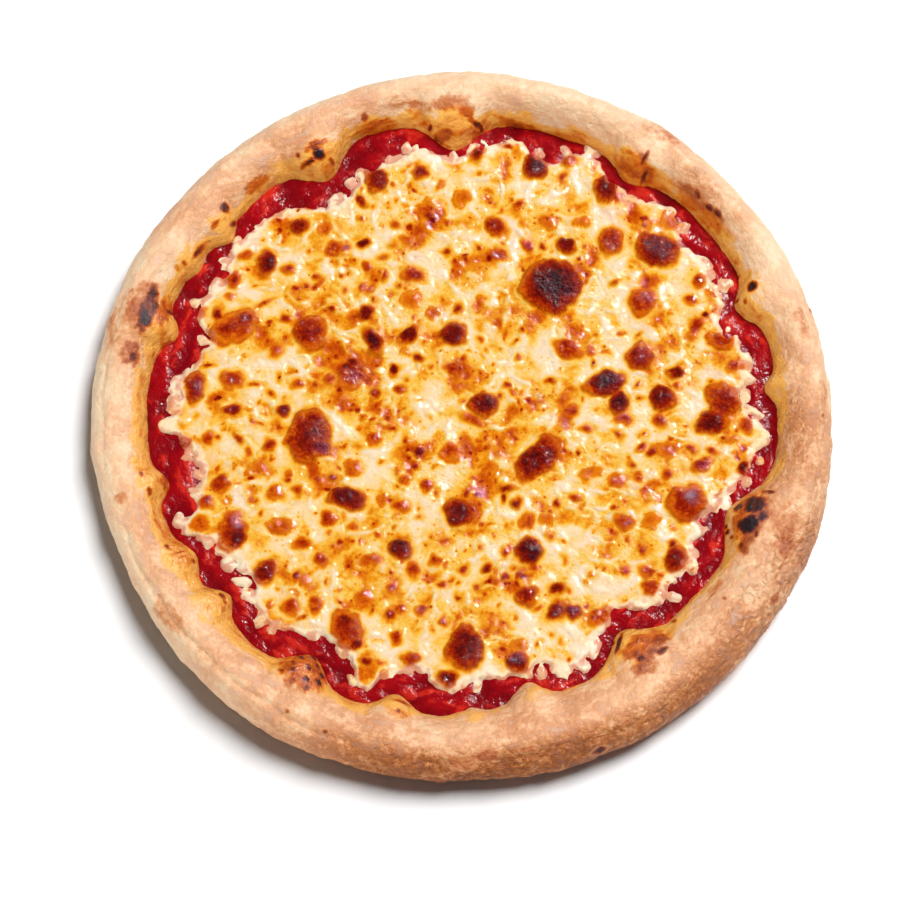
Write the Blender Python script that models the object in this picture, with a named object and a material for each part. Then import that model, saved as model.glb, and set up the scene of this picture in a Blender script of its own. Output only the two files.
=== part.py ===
"""A whole margherita pizza: dough with a puffed rim, tomato sauce and melted cheese.

Metres, +Z up. The pizza lies flat on z = 0 with its middle on the origin. Angles are
in degrees, counted from +X towards +Y.
"""

import math

import bmesh
import bpy
import numpy

MM = 0.001

# Driving dimensions.
RIM_RADIUS = 151.6 * MM        # widest radius of the dough, on average
RIM_HEIGHT = 21.0 * MM         # top of the rim above the table, on average
WIDEST_HEIGHT = 9.0 * MM       # height at which the rim is widest
REST_INSET = 10.0 * MM         # how far the underside's flat stops short of the widest radius
CREST_INSET = 0.46             # crest's place: share of the rim's width, from outside
SAUCE_LINE = 129.6 * MM        # radius where the rim's inner wall meets the sauce, on average
CHEESE_RADIUS = 117.5 * MM     # edge of the cheese, on average
BASE_THICKNESS = 4.0 * MM      # dough under the sauce
SAUCE_THICKNESS = 1.6 * MM     # where it lies flat
CHEESE_THICKNESS = 2.2 * MM    # between its blisters
CHEESE_LIP = 0.9 * MM          # thickness of the cheese at its edge
LIP_WIDTH = 6.0 * MM           # over which the cheese thins towards its edge
SAUCE_SWELL = 1.1 * MM         # how far the sauce heaps up between the cheese and the rim
FULL_SWELL_WIDTH = 7.0 * MM    # width of the sauce's ring from which it heaps up fully
FLAT_MARGIN = 1.2 * MM         # how far the sauce stays flat past the edge of the cheese
FOOT_WIDTH = 3.6 * MM          # strip at the rim's foot whose width is the same all round
FLOOR_INSET = 3.0 * MM         # how far the dough's flat floor stops short of the sauce line
FILLET_INSET = 1.2 * MM        # bend between the floor and the rim's wall: inset ...
FILLET_RISE = 0.6 * MM         # ... and height above the floor
SAUCE_INSET = 1.2 * MM         # how far the sauce's upper edge stops short of the sauce line
GAP = 0.3 * MM                 # free space between touching layers
CHEESE_CLEARANCE = 1.3 * MM    # least distance from the cheese's edge to the sauce line

# Derived places and heights.
CREST_RADIUS = RIM_RADIUS - CREST_INSET * (RIM_RADIUS - SAUCE_LINE)
SAUCE_BOTTOM = BASE_THICKNESS + GAP
SAUCE_TOP = SAUCE_BOTTOM + SAUCE_THICKNESS
CHEESE_BOTTOM = SAUCE_TOP + GAP

# Mesh fineness.
TURN_STEPS = 160
CHEESE_CELLS = 42
OUTER_ARC_STEPS = 3
UNDER_ARC_STEPS = 2
INNER_ARC_STEPS = 4
INNER_WALL_POWER = 1.7         # 2 is a quarter ellipse, less is a gentler slope

# One smooth rise and fall round the pizza: (angle of the largest value, millimetres).
OUTLINE_WAVE = (-63.0, 0.65)   # keeps the pizza's box centred on the origin
RIM_WAVE = (70.0, 2.4)
CHEESE_WAVE = (55.0, 4.5)

# Bumps round the pizza, each (angle, millimetres, spread in degrees).
# Outline: plus is outwards.
OUTLINE_BUMPS = ((0, -0.6, 12), (55, 1.0, 6), (92, 1.2, 9), (150, 0.5, 8), (206, -1.6, 7),
                 (240, 1.4, 9), (300, 0.5, 10), (320, -0.4, 8), (339, 1.0, 7))
# Stretches where the whole rim is broader: plus is towards the middle.
RIM_SWELLS = ((138, 2.6, 9), (284, 3.5, 12), (318, 8.0, 17))
# Folds at the foot of the rim that bulge over the sauce: plus is towards the middle.
RIM_FOLDS = ((5.5, 5, 1.8), (22, 8, 2.8), (56, 7, 3.2), (91, 13, 4.0), (118, 12.5, 3.8),
             (141, 5, 2.2), (149.5, 3, 1.8), (163.5, 6, 2.4), (193.8, 5.5, 2.0),
             (209, 5.5, 2.6), (219.3, 7.5, 2.4), (240, 10, 3.2), (257.5, 7, 2.6),
             (272, 2.5, 2.0), (283, 8, 2.8), (304.5, 10, 3.8), (339, 11, 4.5))
# Height of the rim's crest: plus is up.
CREST_BUMPS = ((12, -1.5, 9), (75, 2.2, 16), (118, 1.6, 9), (160, 1.2, 10), (190, -1.5, 12),
               (240, 1.4, 10), (268, -1.0, 9), (325, 2.0, 18))
# Edge of the cheese: plus is outwards.
CHEESE_LOBES = ((310, -7, 23), (5, -4, 2.2), (12.5, 2.5, 2), (20, -5, 3), (28, 1.5, 2),
                (47, 5, 4), (54, -2, 2), (65, 8, 3.2), (73, -2.5, 1.8), (80, 4, 3),
                (91, -4.5, 3), (112, -3, 3), (119.5, -9, 4.5), (134, 3, 2.5), (143, 4, 3),
                (156, 5, 2.5), (163.5, -5, 2.8), (175, 3, 3.5), (182, 7, 2),
                (191.5, -5, 2.2), (199, 3, 2), (203.7, 11.5, 2), (218, -2, 3), (228, 5.5, 4),
                (242, -2.5, 3), (251, 11, 2), (262, -2.5, 2), (267, 5.5, 2.2), (282, 3, 2.5),
                (294, 8, 2.5), (306, -4.5, 3), (316, 4, 2.5), (337, -6, 5), (349.5, 4, 2.5),
                (356, 7.5, 2))

# The larger blisters on the cheese, in millimetres and degrees:
# middle x and y, half length, half width, turn of the length, height.
BLISTERS = ((37, 56, 13, 12, 0, 3.4), (82, 72, 10, 7.5, -10, 2.6), (31, 111, 6, 6, 0, 2.8),
            (61, 100, 6.5, 5.5, 90, 2.6), (62, 76, 6.5, 5.5, 70, 2.2), (14, 83, 6, 4, -65, 1.8),
            (75, 49, 7, 6, 30, 2.0), (107, 32, 5.5, 5, 0, 2.0), (106, 6, 8, 7, 70, 2.4),
            (73, 25, 7, 5.5, 70, 2.4), (59, 13, 10, 5.5, 20, 2.6), (66, 4, 6.5, 5, 80, 2.4),
            (82, 6, 6, 6, 0, 2.4), (9, 4, 6.5, 6, 0, 2.2), (46, 29, 7, 4, -35, 1.6),
            (-35, 104, 6, 5.5, 0, 2.6), (-68, 84, 5, 4.5, 0, 2.2), (-81, 66, 7, 4.5, 80, 2.4),
            (-95, 59, 5, 4.5, 0, 2.0), (-94, 39, 11, 8, 30, 2.8), (-62, 36, 9, 7.5, 60, 2.6),
            (-37, 32, 8, 4.5, -65, 2.6), (-3, 35, 6.5, 6, 0, 2.6), (-45, 17, 8, 6.5, 80, 2.0),
            (-109, 11, 8, 6, 80, 2.4), (-62, -10, 12, 9, 80, 3.0), (-46, -36, 8, 5.5, -10, 2.4),
            (-93, -49, 10, 7, 70, 2.4), (-97, -29, 6, 5, -50, 2.0), (-79, -67, 7, 5, 60, 2.4),
            (-45, -91, 9, 6.5, -60, 2.8), (-25, -57, 6, 5.5, 0, 3.0), (0, -42, 8, 6.5, 0, 2.6),
            (1, -99, 10, 8.5, 0, 3.0), (32, -18, 14, 7, 48, 3.0), (27, -58, 6.5, 6, 0, 3.0),
            (102, -4, 8, 6.5, 20, 2.6), (92, -37, 9.5, 9, 30, 2.8), (26, -76, 5.5, 5, 0, 2.0),
            (86, -62, 6, 5.5, 40, 2.2), (22, -104, 6, 5, 0, 2.2), (42, -83, 7, 5, 0, 2.0))


def bumps(angle, table):
    """Sum of the bell-shaped bumps of a table at an angle, in metres."""
    total = 0.0
    for centre, reach, spread in table:
        apart = (angle - centre + 180.0) % 360.0 - 180.0
        total += reach * MM * math.exp(-0.5 * (apart / spread) ** 2)
    return total


def wave(angle, shape):
    """Value at an angle of one smooth rise and fall round the pizza, in metres."""
    largest_at, size = shape
    return size * MM * math.cos(math.radians(angle - largest_at))


def rim_outside(angle):
    """Widest radius of the rim."""
    return RIM_RADIUS + wave(angle, OUTLINE_WAVE) + bumps(angle, OUTLINE_BUMPS)


def rim_inside(angle):
    """Inner radius of the rim, without its folds."""
    return SAUCE_LINE + wave(angle, RIM_WAVE) - bumps(angle, RIM_SWELLS)


def rim_crest(angle):
    """Radius of the top of the rim."""
    outside = rim_outside(angle)
    return outside - CREST_INSET * (outside - rim_inside(angle))


def sauce_line(angle):
    """Radius where the rim's inner wall meets the top of the sauce."""
    return rim_inside(angle) - bumps(angle, RIM_FOLDS)


def crest_height(angle):
    """Height of the top of the rim."""
    return RIM_HEIGHT + bumps(angle, CREST_BUMPS)


def cheese_edge(angle):
    """Radius of the edge of the cheese, always clear of the rim."""
    free = CHEESE_RADIUS + wave(angle, CHEESE_WAVE) + bumps(angle, CHEESE_LOBES)
    return min(free, sauce_line(angle) - CHEESE_CLEARANCE)


def arc(steps, power=2.0):
    """Points of a quarter (super)ellipse of unit size, from (0, 1) to (1, 0), ends left out."""
    points = []
    for step in range(1, steps + 1):
        turn = 0.5 * math.pi * step / (steps + 1)
        points.append((math.sin(turn) ** (2.0 / power), math.cos(turn) ** (2.0 / power)))
    return points


def crust_profile():
    """Half section of the dough at its average sizes, from the middle of the floor to the
    middle of the underside, as (radius, height)."""
    rest = RIM_RADIUS - REST_INSET
    points = [(0.0, BASE_THICKNESS),
              (SAUCE_LINE - FLOOR_INSET, BASE_THICKNESS),
              (SAUCE_LINE - FILLET_INSET, BASE_THICKNESS + FILLET_RISE),
              (SAUCE_LINE, SAUCE_TOP)]
    inner = arc(INNER_ARC_STEPS, INNER_WALL_POWER)
    for across, up in reversed(inner):
        points.append((CREST_RADIUS - across * (CREST_RADIUS - SAUCE_LINE),
                       SAUCE_TOP + up * (RIM_HEIGHT - SAUCE_TOP)))
    points.append((CREST_RADIUS, RIM_HEIGHT))
    for across, up in arc(OUTER_ARC_STEPS):
        points.append((CREST_RADIUS + across * (RIM_RADIUS - CREST_RADIUS),
                       WIDEST_HEIGHT + up * (RIM_HEIGHT - WIDEST_HEIGHT)))
    points.append((RIM_RADIUS, WIDEST_HEIGHT))
    for across, up in arc(UNDER_ARC_STEPS):
        points.append((rest + up * REST_INSET, WIDEST_HEIGHT * (1.0 - across)))
    points.append((rest, 0.0))
    points.append((0.0, 0.0))
    return points


def turn_profile(profile):
    """Spin a half section round Z into one closed body."""
    body = bmesh.new()
    verts = [body.verts.new((radius, 0.0, height)) for radius, height in profile]
    edges = [body.edges.new(pair) for pair in zip(verts, verts[1:])]
    bmesh.ops.spin(body, geom=verts + edges, axis=(0, 0, 1), cent=(0, 0, 0),
                   angle=math.tau, steps=TURN_STEPS, use_merge=True)
    bmesh.ops.remove_doubles(body, verts=body.verts, dist=0.01 * MM)
    return body


def polar(point):
    """Radius and angle in degrees of a point."""
    return math.hypot(point.x, point.y), math.degrees(math.atan2(point.y, point.x))


def move_to(vert, radius, angle, height):
    """Put a vertex at a polar place."""
    turn = math.radians(angle)
    vert.co = (radius * math.cos(turn), radius * math.sin(turn), height)


def shape_crust(body):
    """Carry the average section over to the real one at each angle."""
    for vert in body.verts:
        radius, angle = polar(vert.co)
        wall = sauce_line(angle)
        place = numpy.interp(
            radius,
            (0.0, SAUCE_LINE - FOOT_WIDTH, SAUCE_LINE, CREST_RADIUS, RIM_RADIUS),
            (0.0, wall - FOOT_WIDTH, wall, rim_crest(angle), rim_outside(angle)))
        foot = SAUCE_TOP if radius < CREST_RADIUS else WIDEST_HEIGHT
        height = vert.co.z
        if height > foot:
            height = foot + (height - foot) * (crest_height(angle) - foot) / (RIM_HEIGHT - foot)
        move_to(vert, place, angle, height)


def sauce_profile():
    """Half section of the sauce at its average sizes, as (radius, height)."""
    return [(0.0, SAUCE_BOTTOM),
            (SAUCE_LINE - FOOT_WIDTH - 0.1 * MM, SAUCE_BOTTOM),
            (SAUCE_LINE - SAUCE_INSET, SAUCE_TOP),
            (SAUCE_LINE - FOOT_WIDTH, SAUCE_TOP + 0.5 * SAUCE_SWELL),
            (0.5 * (SAUCE_LINE + CHEESE_RADIUS), SAUCE_TOP + SAUCE_SWELL),
            (CHEESE_RADIUS + FLAT_MARGIN, SAUCE_TOP),
            (0.0, SAUCE_TOP)]


def shape_sauce(body):
    """Fit the sauce to the rim outside and to the cheese's edge inside."""
    middle = 0.5 * (SAUCE_LINE + CHEESE_RADIUS)
    for vert in body.verts:
        radius, angle = polar(vert.co)
        wall = sauce_line(angle)
        shown = wall - FOOT_WIDTH
        flat_end = min(cheese_edge(angle) + FLAT_MARGIN, shown - 1.0 * MM)
        place = numpy.interp(
            radius,
            (0.0, CHEESE_RADIUS + FLAT_MARGIN, middle, SAUCE_LINE - FOOT_WIDTH, SAUCE_LINE),
            (0.0, flat_end, 0.5 * (flat_end + shown), shown, wall))
        height = vert.co.z
        if height > SAUCE_TOP:
            room = min((shown - flat_end) / FULL_SWELL_WIDTH, 1.0)
            height = SAUCE_TOP + (height - SAUCE_TOP) * room
        move_to(vert, place, angle, height)


def square_to_disc(across, along):
    """Unit square to unit disc with even cells: (share of the radius, angle in degrees)."""
    if abs(across) < 1e-9 and abs(along) < 1e-9:
        return 0.0, 0.0
    if abs(across) > abs(along):
        return abs(across), 45.0 * along / across + (180.0 if across < 0 else 0.0)
    return abs(along), 90.0 - 45.0 * across / along + (180.0 if along < 0 else 0.0)


def blister_rise(x, y):
    """Height that the blisters add to the cheese at a place."""
    rise = 0.0
    for mid_x, mid_y, half_long, half_wide, turn, height in BLISTERS:
        away_x, away_y = x - mid_x * MM, y - mid_y * MM
        cosine, sine = math.cos(math.radians(turn)), math.sin(math.radians(turn))
        along = (away_x * cosine + away_y * sine) / (half_long * MM)
        across = (away_y * cosine - away_x * sine) / (half_wide * MM)
        rise = max(rise, height * MM * math.exp(-(along * along + across * across) ** 1.5))
    return rise


def make_cheese():
    """Melted cheese: a flat-bottomed disc with a thin wavy edge and domed blisters."""
    body = bmesh.new()
    bmesh.ops.create_grid(body, x_segments=CHEESE_CELLS, y_segments=CHEESE_CELLS, size=1.0)
    for vert in body.verts:
        share, angle = square_to_disc(vert.co.x, vert.co.y)
        edge = cheese_edge(angle)
        radius = share * (CHEESE_RADIUS + (edge - CHEESE_RADIUS) * share ** 4)
        move_to(vert, radius, angle, 0.0)
        inward = min((edge - radius) / LIP_WIDTH, 1.0)
        bulge = math.sqrt(1.0 - (1.0 - inward) ** 2)
        thickness = CHEESE_LIP + (CHEESE_THICKNESS - CHEESE_LIP) * bulge
        vert.co.z = CHEESE_BOTTOM + thickness + bulge * blister_rise(vert.co.x, vert.co.y)
    border = [edge for edge in body.edges if edge.is_boundary]
    skirt = bmesh.ops.extrude_edge_only(body, edges=border)["geom"]
    for vert in skirt:
        if isinstance(vert, bmesh.types.BMVert):
            vert.co.z = CHEESE_BOTTOM
    rim = [edge for edge in body.edges if edge.is_boundary]
    bmesh.ops.edgeloop_fill(body, edges=rim)
    return body


def add_object(name, body, colour, roughness):
    """Finish a body: outward faces, smooth shading, its own material, its own object."""
    bmesh.ops.recalc_face_normals(body, faces=body.faces)
    mesh = bpy.data.meshes.new(name)
    body.to_mesh(mesh)
    body.free()
    mesh.shade_smooth()
    mesh.set_sharp_from_angle(angle=math.radians(50.0))
    material = bpy.data.materials.new(name)
    material.use_nodes = True
    shader = material.node_tree.nodes["Principled BSDF"]
    shader.inputs["Base Color"].default_value = (*colour, 1.0)
    shader.inputs["Roughness"].default_value = roughness
    shader.inputs["Metallic"].default_value = 0.0
    mesh.materials.append(material)
    piece = bpy.data.objects.new(name, mesh)
    bpy.context.scene.collection.objects.link(piece)
    return piece


def build():
    """Make the three layers, from the table up."""
    for old in list(bpy.data.objects):
        bpy.data.objects.remove(old, do_unlink=True)

    crust = turn_profile(crust_profile())
    shape_crust(crust)
    add_object("crust", crust, (0.80, 0.52, 0.27), 0.65)

    sauce = turn_profile(sauce_profile())
    shape_sauce(sauce)
    add_object("tomato_sauce", sauce, (0.45, 0.02, 0.01), 0.30)

    add_object("cheese", make_cheese(), (0.90, 0.68, 0.30), 0.32)


build()
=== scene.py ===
"""Looks of a whole margherita pizza: a baked dough rim, chunky tomato sauce and melted,
blistered cheese, lying on a pale floor in soft light.

Tables and shapes are in millimetres and degrees, angles counted from +X towards +Y. The
finished meshes are in metres, with the pizza's middle on the origin and its underside on
z = 0.
"""
import logging
import math
from dataclasses import dataclass
from enum import Enum

import bmesh
import bpy
import numpy
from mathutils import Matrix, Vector, noise


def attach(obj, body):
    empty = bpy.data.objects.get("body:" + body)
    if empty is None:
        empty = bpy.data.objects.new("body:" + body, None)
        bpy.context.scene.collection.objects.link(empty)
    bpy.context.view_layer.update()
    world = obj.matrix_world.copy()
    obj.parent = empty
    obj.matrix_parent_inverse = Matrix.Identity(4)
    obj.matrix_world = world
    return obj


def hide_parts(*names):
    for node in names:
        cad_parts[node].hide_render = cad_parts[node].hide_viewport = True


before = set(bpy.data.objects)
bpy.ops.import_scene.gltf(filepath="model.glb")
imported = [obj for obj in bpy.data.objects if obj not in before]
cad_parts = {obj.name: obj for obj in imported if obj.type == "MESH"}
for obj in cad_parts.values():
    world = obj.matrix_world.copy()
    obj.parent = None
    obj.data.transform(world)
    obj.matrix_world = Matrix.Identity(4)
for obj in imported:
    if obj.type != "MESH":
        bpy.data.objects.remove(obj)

logging.basicConfig(level=logging.INFO, format="%(message)s")
log = logging.getLogger("pizza")

MM = 0.001
RIM_CIRCLE = 140.0

Array = numpy.ndarray
Colour = tuple[float, float, float, float]
Table = tuple[tuple[float, ...], ...]


# ---------------------------------------------------------------- fields over a surface


def smooth_step(value: Array, low: float, high: float) -> Array:
    """Ease from 0 at low to 1 at high.

    Args:
        value: Numbers to ease.
        low: Where the rise starts.
        high: Where it ends; below low for a fall.

    Returns:
        Shares from 0 to 1.
    """
    share = numpy.clip((value - low) / (high - low), 0.0, 1.0)
    return share * share * (3.0 - 2.0 * share)


def turn_between(angle: Array, centre: float) -> Array:
    """Signed turn in degrees from a centre angle, between -180 and 180.

    Args:
        angle: Angles in degrees.
        centre: The angle they are measured from.

    Returns:
        The turns.
    """
    return (angle - centre + 180.0) % 360.0 - 180.0


def bumps(angle: Array, table: Table) -> Array:
    """Sum of a table's bell-shaped bumps round the pizza.

    Args:
        angle: Angles in degrees.
        table: Rows of (centre angle, millimetres, spread in degrees).

    Returns:
        Millimetres at each angle.
    """
    total = numpy.zeros_like(angle)
    for centre, reach, spread in table:
        total += reach * numpy.exp(-0.5 * (turn_between(angle, centre) / spread) ** 2)
    return total


def wave(angle: Array, shape: tuple[float, float]) -> Array:
    """One smooth rise and fall round the pizza.

    Args:
        angle: Angles in degrees.
        shape: Angle of the largest value, and its size in millimetres.

    Returns:
        Millimetres at each angle.
    """
    largest_at, size = shape
    return size * numpy.cos(numpy.radians(angle - largest_at))


def noise_over(places: Array, size: float, seed: int, octaves: int = 2) -> Array:
    """Smooth noise over points.

    Args:
        places: Points in millimetres, one per row.
        size: Width of the broadest lumps in millimetres.
        seed: Picks one pattern.
        octaves: How many finer layers are added up.

    Returns:
        One number per point, mostly between -1 and 1.
    """
    shift = Vector((31.7, 17.3, 47.9)) * seed
    tilt = numpy.array(((0.80, -0.36, 0.48), (0.60, 0.48, -0.64), (0.0, 0.80, 0.60)))
    turned = places @ tilt.T / size
    return numpy.array([noise.fractal(Vector(at) + shift, 1.0, 2.0, octaves) for at in turned])


def along_rim(places: Array, stretch: float) -> Array:
    """Squeeze places across the rim, so that noise over them runs along it.

    Args:
        places: Points in millimetres, one per row.
        stretch: How many times longer than wide the noise's lumps become.

    Returns:
        The squeezed points.
    """
    radius = numpy.maximum(numpy.hypot(places[:, 0], places[:, 1]), 1.0)
    ring = places * numpy.array((1.0, 1.0, 0.0)) / radius[:, None]
    return stretch * places + RIM_CIRCLE * (1.0 - stretch) * ring


def polar(places: Array) -> tuple[Array, Array]:
    """Radius and angle in degrees of points."""
    return (numpy.hypot(places[:, 0], places[:, 1]),
            numpy.degrees(numpy.arctan2(places[:, 1], places[:, 0])))


def cartesian(radius: Array, angle: Array, height: Array) -> Array:
    """Points at polar places.

    Args:
        radius: Distances from the middle.
        angle: Angles in degrees.
        height: Heights.

    Returns:
        Points, one per row.
    """
    turn = numpy.radians(angle)
    return numpy.column_stack((radius * numpy.cos(turn), radius * numpy.sin(turn), height))


class Patch:
    """Places on a surface seen flat, sorted so that those near a spot are found at once."""

    def __init__(self, across: Array, along: Array) -> None:
        """Keep the places.

        Args:
            across: First coordinate in millimetres.
            along: Second coordinate in millimetres.
        """
        self.across = across
        self.along = along
        self.order = numpy.argsort(across)
        self.sorted_across = across[self.order]

    def near(self, across: float, along: float, reach: float) -> Array:
        """Places within a square round a spot.

        Args:
            across: Spot's first coordinate.
            along: Spot's second coordinate.
            reach: Half the square's side.

        Returns:
            Their indices.
        """
        low, high = numpy.searchsorted(self.sorted_across, (across - reach, across + reach))
        strip = self.order[low:high]
        return strip[numpy.abs(self.along[strip] - along) < reach]

    def oval(self, across: float, along: float, half_long: float, half_wide: float,
             turn: float, margin: float) -> tuple[Array, Array]:
        """Places in and round an oval.

        Args:
            across: Middle's first coordinate.
            along: Middle's second coordinate.
            half_long: Half its length.
            half_wide: Half its width.
            turn: Turn of its length in degrees.
            margin: How far round it to look.

        Returns:
            Indices, and their distance from the middle as a share of the oval.
        """
        found = self.near(across, along, max(half_long, half_wide) + margin)
        away, up = self.across[found] - across, self.along[found] - along
        cosine, sine = math.cos(math.radians(turn)), math.sin(math.radians(turn))
        lengthwise = (away * cosine + up * sine) / half_long
        crosswise = (up * cosine - away * sine) / half_wide
        return found, numpy.hypot(lengthwise, crosswise)


# ------------------------------------------------------------------ the pizza's outlines


@dataclass(frozen=True)
class Plan:
    """The pizza's lines seen from above, and its heights, all in millimetres."""

    rim_radius: float = 151.6
    rim_height: float = 21.0
    widest_height: float = 9.0
    rest_inset: float = 10.0
    crest_inset: float = 0.46
    sauce_line_radius: float = 129.6
    cheese_radius: float = 117.5
    base_thickness: float = 4.0
    sauce_bottom: float = 4.3
    sauce_top: float = 5.9
    cheese_bottom: float = 6.2
    foot_width: float = 3.6
    cheese_clearance: float = 1.3

    outline_wave: tuple[float, float] = (-63.0, 0.65)
    rim_wave: tuple[float, float] = (70.0, 2.4)
    cheese_wave: tuple[float, float] = (55.0, 4.5)
    outline_bumps: Table = (
        (0, -0.6, 12), (55, 1.0, 6), (92, 1.2, 9), (150, 0.5, 8), (206, -1.6, 7),
        (240, 1.4, 9), (300, 0.5, 10), (320, -0.4, 8), (339, 1.0, 7))
    rim_swells: Table = ((138, 2.6, 9), (284, 3.5, 12), (318, 8.0, 17))
    rim_folds: Table = (
        (5.5, 5, 1.8), (22, 8, 2.8), (56, 7, 3.2), (91, 13, 4.0), (118, 12.5, 3.8),
        (141, 5, 2.2), (149.5, 3, 1.8), (163.5, 6, 2.4), (193.8, 5.5, 2.0), (209, 5.5, 2.6),
        (219.3, 7.5, 2.4), (240, 10, 3.2), (257.5, 7, 2.6), (272, 2.5, 2.0), (283, 8, 2.8),
        (304.5, 10, 3.8), (339, 11, 4.5))
    crest_bumps: Table = (
        (12, -1.5, 9), (75, 2.2, 16), (118, 1.6, 9), (160, 1.2, 10), (190, -1.5, 12),
        (240, 1.4, 10), (268, -1.0, 9), (325, 2.0, 18))
    cheese_lobes: Table = (
        (310, -7, 23), (5, -4, 2.2), (12.5, 2.5, 2), (20, -5, 3), (28, 1.5, 2), (47, 5, 4),
        (54, -2, 2), (65, 8, 3.2), (73, -2.5, 1.8), (80, 4, 3), (91, -4.5, 3), (112, -3, 3),
        (119.5, -9, 4.5), (134, 3, 2.5), (143, 4, 3), (156, 5, 2.5), (163.5, -5, 2.8),
        (175, 3, 3.5), (182, 7, 2), (191.5, -5, 2.2), (199, 3, 2), (203.7, 11.5, 2),
        (218, -2, 3), (228, 5.5, 4), (242, -2.5, 3), (251, 11, 2), (262, -2.5, 2),
        (267, 5.5, 2.2), (282, 3, 2.5), (294, 8, 2.5), (306, -4.5, 3), (316, 4, 2.5),
        (337, -6, 5), (349.5, 4, 2.5), (356, 7.5, 2))

    def crest_radius(self) -> float:
        """Radius of the top of the rim, on average."""
        return self.rim_radius - self.crest_inset * (self.rim_radius - self.sauce_line_radius)

    def outside(self, angle: Array) -> Array:
        """Widest radius of the rim at angles in degrees."""
        return self.rim_radius + wave(angle, self.outline_wave) + bumps(angle, self.outline_bumps)

    def inside(self, angle: Array) -> Array:
        """Inner radius of the rim, without its folds, at angles in degrees."""
        return (self.sauce_line_radius + wave(angle, self.rim_wave)
                - bumps(angle, self.rim_swells))

    def crest(self, angle: Array) -> Array:
        """Radius of the top of the rim at angles in degrees."""
        outside = self.outside(angle)
        return outside - self.crest_inset * (outside - self.inside(angle))

    def sauce_line(self, angle: Array) -> Array:
        """Radius where the rim's inner wall meets the sauce, at angles in degrees."""
        return self.inside(angle) - bumps(angle, self.rim_folds)

    def crest_height(self, angle: Array) -> Array:
        """Height of the top of the rim at angles in degrees."""
        return self.rim_height + bumps(angle, self.crest_bumps)

    def cheese_edge(self, angle: Array) -> Array:
        """Radius of the cheese's edge at angles in degrees, always clear of the rim."""
        free = (self.cheese_radius + wave(angle, self.cheese_wave)
                + bumps(angle, self.cheese_lobes))
        return numpy.minimum(free, self.sauce_line(angle) - self.cheese_clearance)


# ------------------------------------------------------------------------ mesh helpers


def rounded(steps: int, power: float = 2.0) -> list[tuple[float, float]]:
    """Points of a quarter (super)ellipse of unit size, from (0, 1) to (1, 0), ends left out.

    Args:
        steps: Number of points.
        power: 2 is an ellipse, less is flatter.

    Returns:
        The points as (across, up).
    """
    points = []
    for step in range(1, steps + 1):
        turn = 0.5 * math.pi * step / (steps + 1)
        points.append((math.sin(turn) ** (2.0 / power), math.cos(turn) ** (2.0 / power)))
    return points


def turned_body(profile: list[tuple[float, float]], wedges: int,
                wedge_steps: int) -> bmesh.types.BMesh:
    """Spin a half section round Z into one closed body: one wedge first, then its copies.

    Args:
        profile: The section as (radius, height), from axis to axis.
        wedges: Number of equal wedges.
        wedge_steps: Number of steps in each wedge.

    Returns:
        The body, its faces outwards.
    """
    body = bmesh.new()
    verts = [body.verts.new((radius, 0.0, height)) for radius, height in profile]
    edges = [body.edges.new(pair) for pair in zip(verts, verts[1:])]
    wedge = math.tau / wedges
    bmesh.ops.spin(body, geom=verts + edges, axis=(0, 0, 1), cent=(0, 0, 0),
                   angle=wedge, steps=wedge_steps)
    bmesh.ops.spin(body, geom=[*body.verts, *body.edges, *body.faces], axis=(0, 0, 1),
                   cent=(0, 0, 0), angle=math.tau - wedge, steps=wedges - 1, use_duplicate=True)
    bmesh.ops.remove_doubles(body, verts=body.verts, dist=0.001)
    bmesh.ops.recalc_face_normals(body, faces=body.faces)
    return body


def places_of(mesh: bpy.types.Mesh) -> Array:
    """Positions of a mesh's vertices, one per row."""
    flat = numpy.empty(3 * len(mesh.vertices))
    mesh.vertices.foreach_get("co", flat)
    return flat.reshape(-1, 3)


def move_vertices(mesh: bpy.types.Mesh, places: Array) -> None:
    """Put a mesh's vertices at new places.

    Args:
        mesh: The mesh.
        places: New positions, one per row.
    """
    mesh.vertices.foreach_set("co", places.ravel())
    mesh.update()


def normals_of(mesh: bpy.types.Mesh) -> Array:
    """Outward directions at a mesh's vertices, one per row."""
    flat = numpy.empty(3 * len(mesh.vertices))
    mesh.vertices.foreach_get("normal", flat)
    return flat.reshape(-1, 3)


def store(mesh: bpy.types.Mesh, name: str, values: Array) -> None:
    """Keep one number per vertex under a name that the finishes read.

    Args:
        mesh: The mesh.
        name: The attribute's name.
        values: The numbers.
    """
    layer = mesh.attributes.new(name, "FLOAT", "POINT")
    layer.data.foreach_set("value", values.astype(numpy.float32))


def finished_piece(name: str, mesh: bpy.types.Mesh, places: Array,
                   material: bpy.types.Material) -> bpy.types.Object:
    """Put a mesh modelled in millimetres into the scene in metres.

    Args:
        name: The piece's name.
        mesh: Its mesh.
        places: Its vertices in millimetres.
        material: Its finish.

    Returns:
        The object, at the origin, unturned and unscaled.
    """
    move_vertices(mesh, places * MM)
    mesh.shade_smooth()
    mesh.materials.clear()
    mesh.materials.append(material)
    piece = bpy.data.objects.new(name, mesh)
    bpy.context.scene.collection.objects.link(piece)
    return piece


# -------------------------------------------------------------------- material helpers


def paint(red: int, green: int, blue: int) -> Colour:
    """A colour given in the 0 to 255 steps of a paint chart, as a shader needs it.

    Args:
        red: Red from 0 to 255.
        green: Green from 0 to 255.
        blue: Blue from 0 to 255.

    Returns:
        The linear colour with full opacity.
    """
    linear = []
    for step in (red, green, blue):
        share = step / 255.0
        linear.append(share / 12.92 if share <= 0.04045 else ((share + 0.055) / 1.055) ** 2.4)
    return (*linear, 1.0)


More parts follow.
